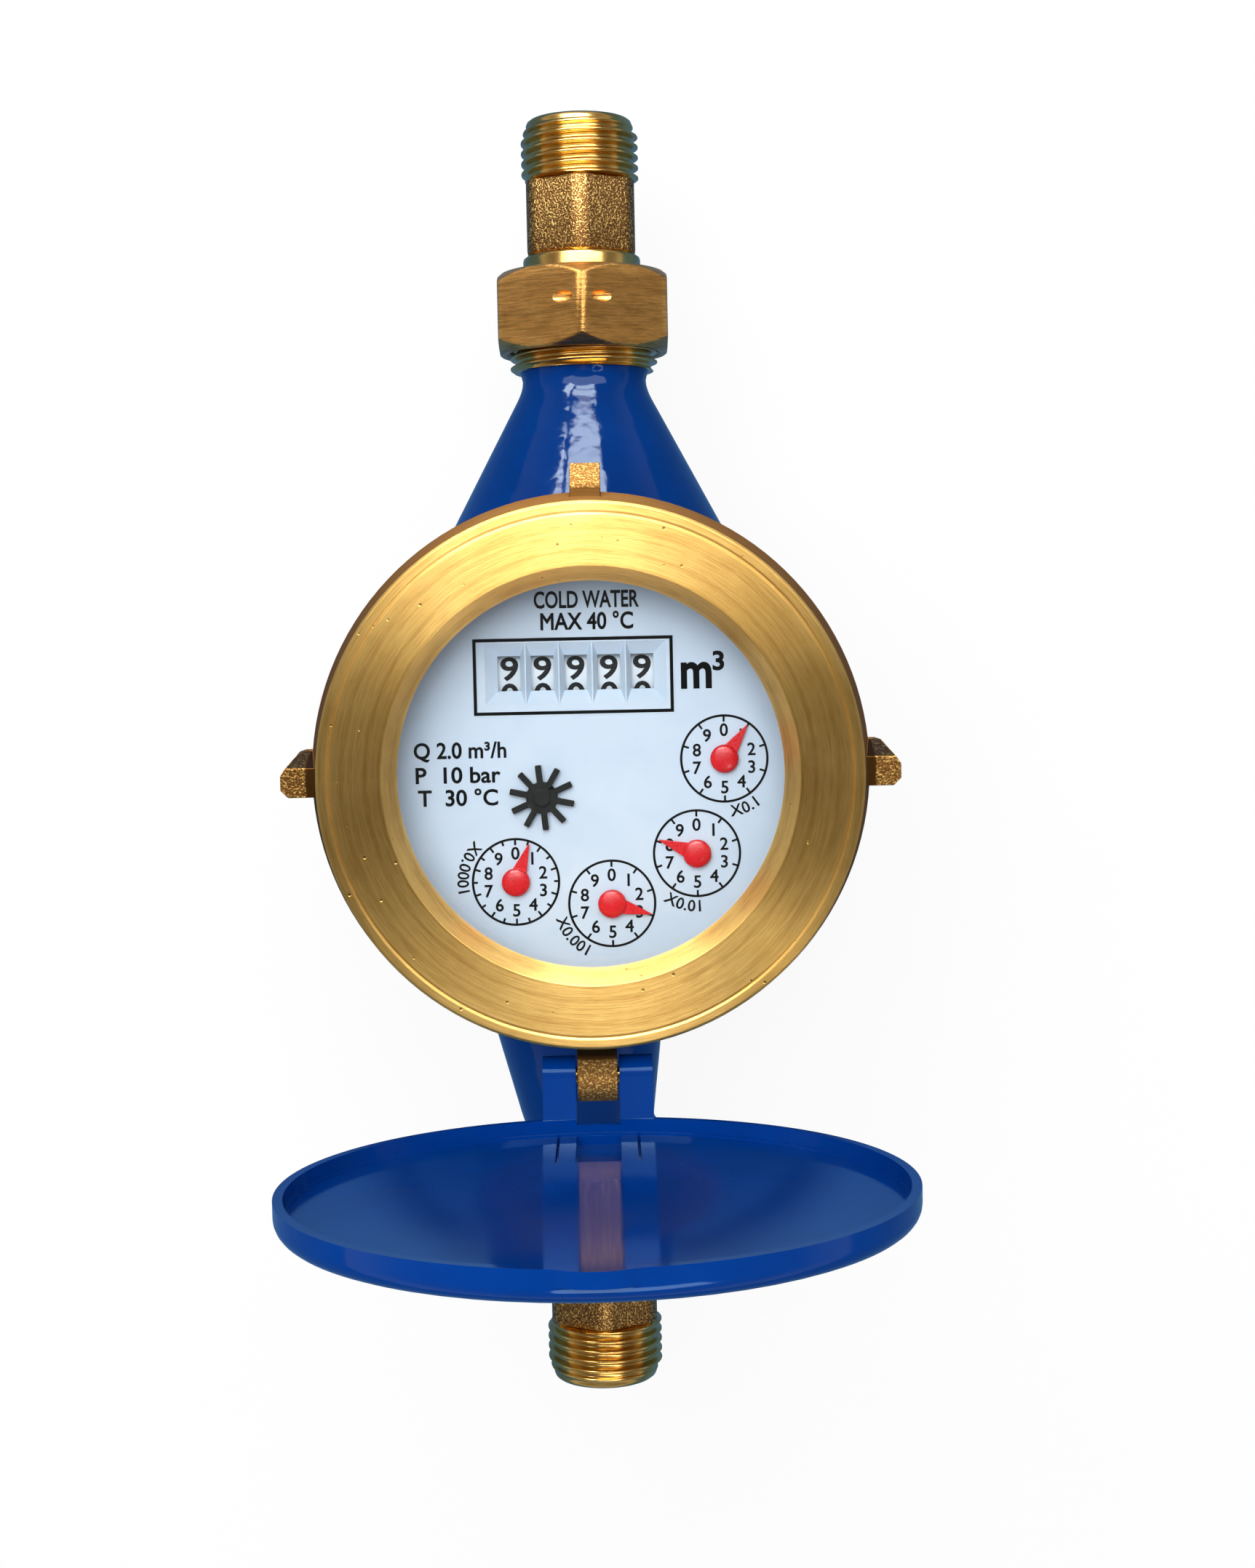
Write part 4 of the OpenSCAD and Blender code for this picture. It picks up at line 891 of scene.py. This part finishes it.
# Each row: text, height, width, left edge, base line, added weight of the strokes
for text, height, width, x0, y0, heavy in (
    ("m", 5.8, 5.0, 14.84, 13.4, 0.026),
    ("3", 2.9, 1.9, 20.0, 16.2, 0.03),
    ("COLD WATER", 2.6, 17.0, -8.7, 26.7, 0.023),
    ("MAX 40 °C", 2.6, 15.0, -7.7, 23.2, 0.023),
    ("Q 2.0 m³/h", 2.5, 15.0, -28.7, 2.7, 0.021),
    ("P  10 bar", 2.5, 13.8, -28.5, -1.3, 0.021),
    ("T  30 °C", 2.5, 13.0, -28.2, -5.0, 0.021),
):
    corners, faces = letters(text, height, width, heavy)
    lay(sheet, corners, faces, lambda x, y: (x + x0, y + y0, INK))
print(inked("dial_print", sheet, "meter").name)

# %% [markdown]
# ## Drums
# Each drum carries the ten digits round its rim. The letters are sliced across first, so that
# they can bend, and then wrapped: up the digit becomes an angle round the drum's axle. A decal
# on a cylinder would do as well, but it would need an image.

# %% A digit in slices
DIGIT_TALL, DIGIT_WIDE = 3.7, 2.95
SLICES = 12


def sliced(digit):
    flat = bmesh.new()
    corners, faces = letters(str(digit), DIGIT_TALL, DIGIT_WIDE if digit != 1 else None, heavy=0.02)
    lay(flat, corners, faces, lambda x, y: (x, y, 0))
    for number in range(1, SLICES):
        cut = number * DIGIT_TALL / SLICES * MM
        every = flat.verts[:] + flat.edges[:] + flat.faces[:]
        bmesh.ops.bisect_plane(flat, geom=every, plane_co=(0, cut, 0), plane_no=(0, 1, 0))
    flat.verts.index_update()
    corners = [(v.co.x / MM, v.co.y / MM) for v in flat.verts]
    faces = [[v.index for v in f.verts] for f in flat.faces]
    flat.free()
    return corners, faces


print("digits are cut into", SLICES, "slices")

# %% Wrap ten digits round each drum
DRUM, LIFT = 7.0, 0.03
NINE_AT = 11.5
axle_low, axle_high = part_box("counter_shaft")
axle_y, axle_z = [(axle_low[k] + axle_high[k]) / 2 / MM for k in (1, 2)]
for number in range(1, 6):
    low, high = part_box(f"number_wheel_{number}")
    middle = (low.x + high.x) / 2 / MM
    sheet = bmesh.new()
    for digit in range(10):
        corners, faces = sliced(digit)
        wide = max(x for x, y in corners)
        turn = math.radians(NINE_AT + 36 * (9 - digit))

        def wrap(x, y):
            lean = turn + (y - DIGIT_TALL / 2) / DRUM
            r = DRUM + LIFT
            return (middle + x - wide / 2, axle_y + r * math.sin(lean), axle_z + r * math.cos(lean))

        lay(sheet, corners, faces, wrap)
    print(inked(f"drum_digits_{number}", sheet, f"wheel_{number}").name)
print("drums carry digits at", round(axle_y, 2), round(axle_z, 2))

# %% [markdown]
# ## Studio
# The meter lies on white paper and is seen from above. One soft lamp at the upper left lights
# it, helped by a pale room. Windows would shine on brass and enamel too, but would also wash
# out the dial, so lamps that show only in reflections stand in for them. The camera sees the
# paper almost white with a faint shadow. Mirror images see the paper glow by itself, darker, as
# in a dim room, with a painted shadow round the meter and a painted dim blue glow further out.

# %% Paper
PAPER_SIZE, PAPER_DROP = 3.0, 0.0003
SHADE_FROM, SHADE_TO, OWN_LIGHT = 38.0, 50.0, 0.9
# Painted shadow close round the meter and a painted dim blue glow further out, which reflections and
# bounces see on the paper
NEAR_PAINTED_SHADOW, FAR_PAINTED_GLOW = (0.01, 0.01, 0.014, 1), (0.09, 0.21, 0.4, 1)
bpy.ops.mesh.primitive_plane_add(size=PAPER_SIZE, location=(0, 0, -PAPER_DROP))
paper = bpy.context.object
paper.name = "paper"
paper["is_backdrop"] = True
material, tree, skin = new_finish("paper", Roughness=0.9)
path = put(tree, "ShaderNodeLightPath").outputs
seen = sums(tree, "MAXIMUM", path["Is Camera Ray"], path["Is Transmission Ray"])
white, off_white = screen(250, 250, 250), screen(246, 246, 246)
bright = use(tree, drift, Base=white, Other=off_white, Size=40.0, Amount=0.5)["Color"]
x, y, z = millimetres(tree)
# Painted shadow near the meter, fading into the painted dim blue glow further out
away = ramp(tree, distance(tree, x, y), SHADE_FROM, SHADE_TO)
painted_shadow_glow = between(tree, away, NEAR_PAINTED_SHADOW, FAR_PAINTED_GLOW)
tree.links.new(between(tree, seen, painted_shadow_glow, bright), skin["Base Color"])
sockets = {"Color": between(tree, seen, painted_shadow_glow, (1, 1, 1, 1)), "Strength": 1.0}
glow = put(tree, "ShaderNodeEmission", sockets).outputs[0]
# The camera sees the paper glow white; glossy rays see it glow with the painted shadow and blue glow
own_light = sums(tree, "MAXIMUM", times(tree, seen, OWN_LIGHT), path["Is Glossy Ray"])
mix_in(tree, own_light, glow)
paper.data.materials.append(material)
print("paper ready")


# %% Room
def grey(level):
    return (level, level, level, 1)


room = bpy.data.worlds.new("room")
scene.world = room
room.use_nodes = True
tree = room.node_tree
tree.nodes.clear()
towards = put(tree, "ShaderNodeTexCoord").outputs["Generated"]
way = put(tree, "ShaderNodeSeparateXYZ", {0: towards}).outputs
path = put(tree, "ShaderNodeLightPath").outputs
walls = between(tree, ramp(tree, way[0], -0.7, 0.7), (0.36, 0.35, 0.34, 1), grey(0.24))
sky = between(tree, ramp(tree, way[2], 0.0, 0.95), walls, grey(0.16))
sky = between(tree, ramp(tree, way[2], 0.35, 0.05), sky, grey(0.6))
sky = between(tree, path["Is Diffuse Ray"], sky, grey(0.55))
colour = between(tree, path["Is Camera Ray"], sky, grey(1))
background = put(tree, "ShaderNodeBackground", {"Color": colour, "Strength": 1.0})
put(tree, "ShaderNodeOutputWorld", {"Surface": background.outputs[0]})
print("room ready")

# %% Lamps
DIAL = (0, 0, 0.08)


def lamp(name, at, width, height, watts):
    light = bpy.data.lights.new(name, "AREA")
    light.shape = "RECTANGLE"
    light.size, light.size_y = width, height
    light.energy = watts
    holder = bpy.data.objects.new(name, light)
    holder.location = at
    holder.rotation_euler = (Vector(DIAL) - Vector(at)).to_track_quat("-Z", "Y").to_euler()
    scene.collection.objects.link(holder)
    return holder


key = lamp("key", (-0.12, 0.24, 0.74), width=0.6, height=0.5, watts=4.4)
key.visible_glossy = key.visible_transmission = False
# Each row: name, place, width and height in metres, and watts
for name, at, width, height, watts in (
    ("sheen", (0.0, 0.42, 0.66), 1.0, 0.4, 6.6),
    ("low_sheen", (0.12, -0.47, 0.68), 0.6, 0.2, 2.4),
    ("upper_pane", (0.02, 0.723, 0.615), 0.42, 0.115, 4.0),
    ("lower_pane", (-0.01, 0.797, 0.498), 0.44, 0.123, 4.5),
    ("side_pane", (-0.33, 0.74, 0.55), 0.15, 0.30, 4.2),
):
    lamp(name, at, width, height, watts).visible_diffuse = False

# %% [markdown]
# ## Camera
# The camera hangs over the meter as if held by hand, a little off the middle and not quite
# level. A constraint could aim it at the dial, but would take these small tilts away, so its
# place, its lens and its three turns are set as numbers.

# %% Camera
LENS, SENSOR = 51.36, 36.0
EYE_AT = (0.0024263, 0.0205596, 0.4430981)
PITCH_TURN, YAW_TURN, ROLL_TURN = -0.0623, -0.0094, -0.0210
eye = bpy.data.cameras.new("camera")
eye.lens = LENS
eye.sensor_width = SENSOR
viewer = bpy.data.objects.new("camera", eye)
turn = Matrix.Rotation(YAW_TURN, 3, "Y") @ Matrix.Rotation(PITCH_TURN, 3, "X")
turn = turn @ Matrix.Rotation(ROLL_TURN, 3, "Z")
viewer.matrix_world = Matrix.Translation(EYE_AT) @ turn.to_4x4()
scene.collection.objects.link(viewer)
scene.camera = viewer
scene.view_settings.view_transform = "Standard"
print("camera at", [round(c, 3) for c in viewer.location])

# %% How far the scene grew past the solids, and finish
low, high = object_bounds()
grown = [[round(c / MM, 2) for c in change] for change in (cad_low - low, high - cad_high)]
print("grew by mm:", grown)
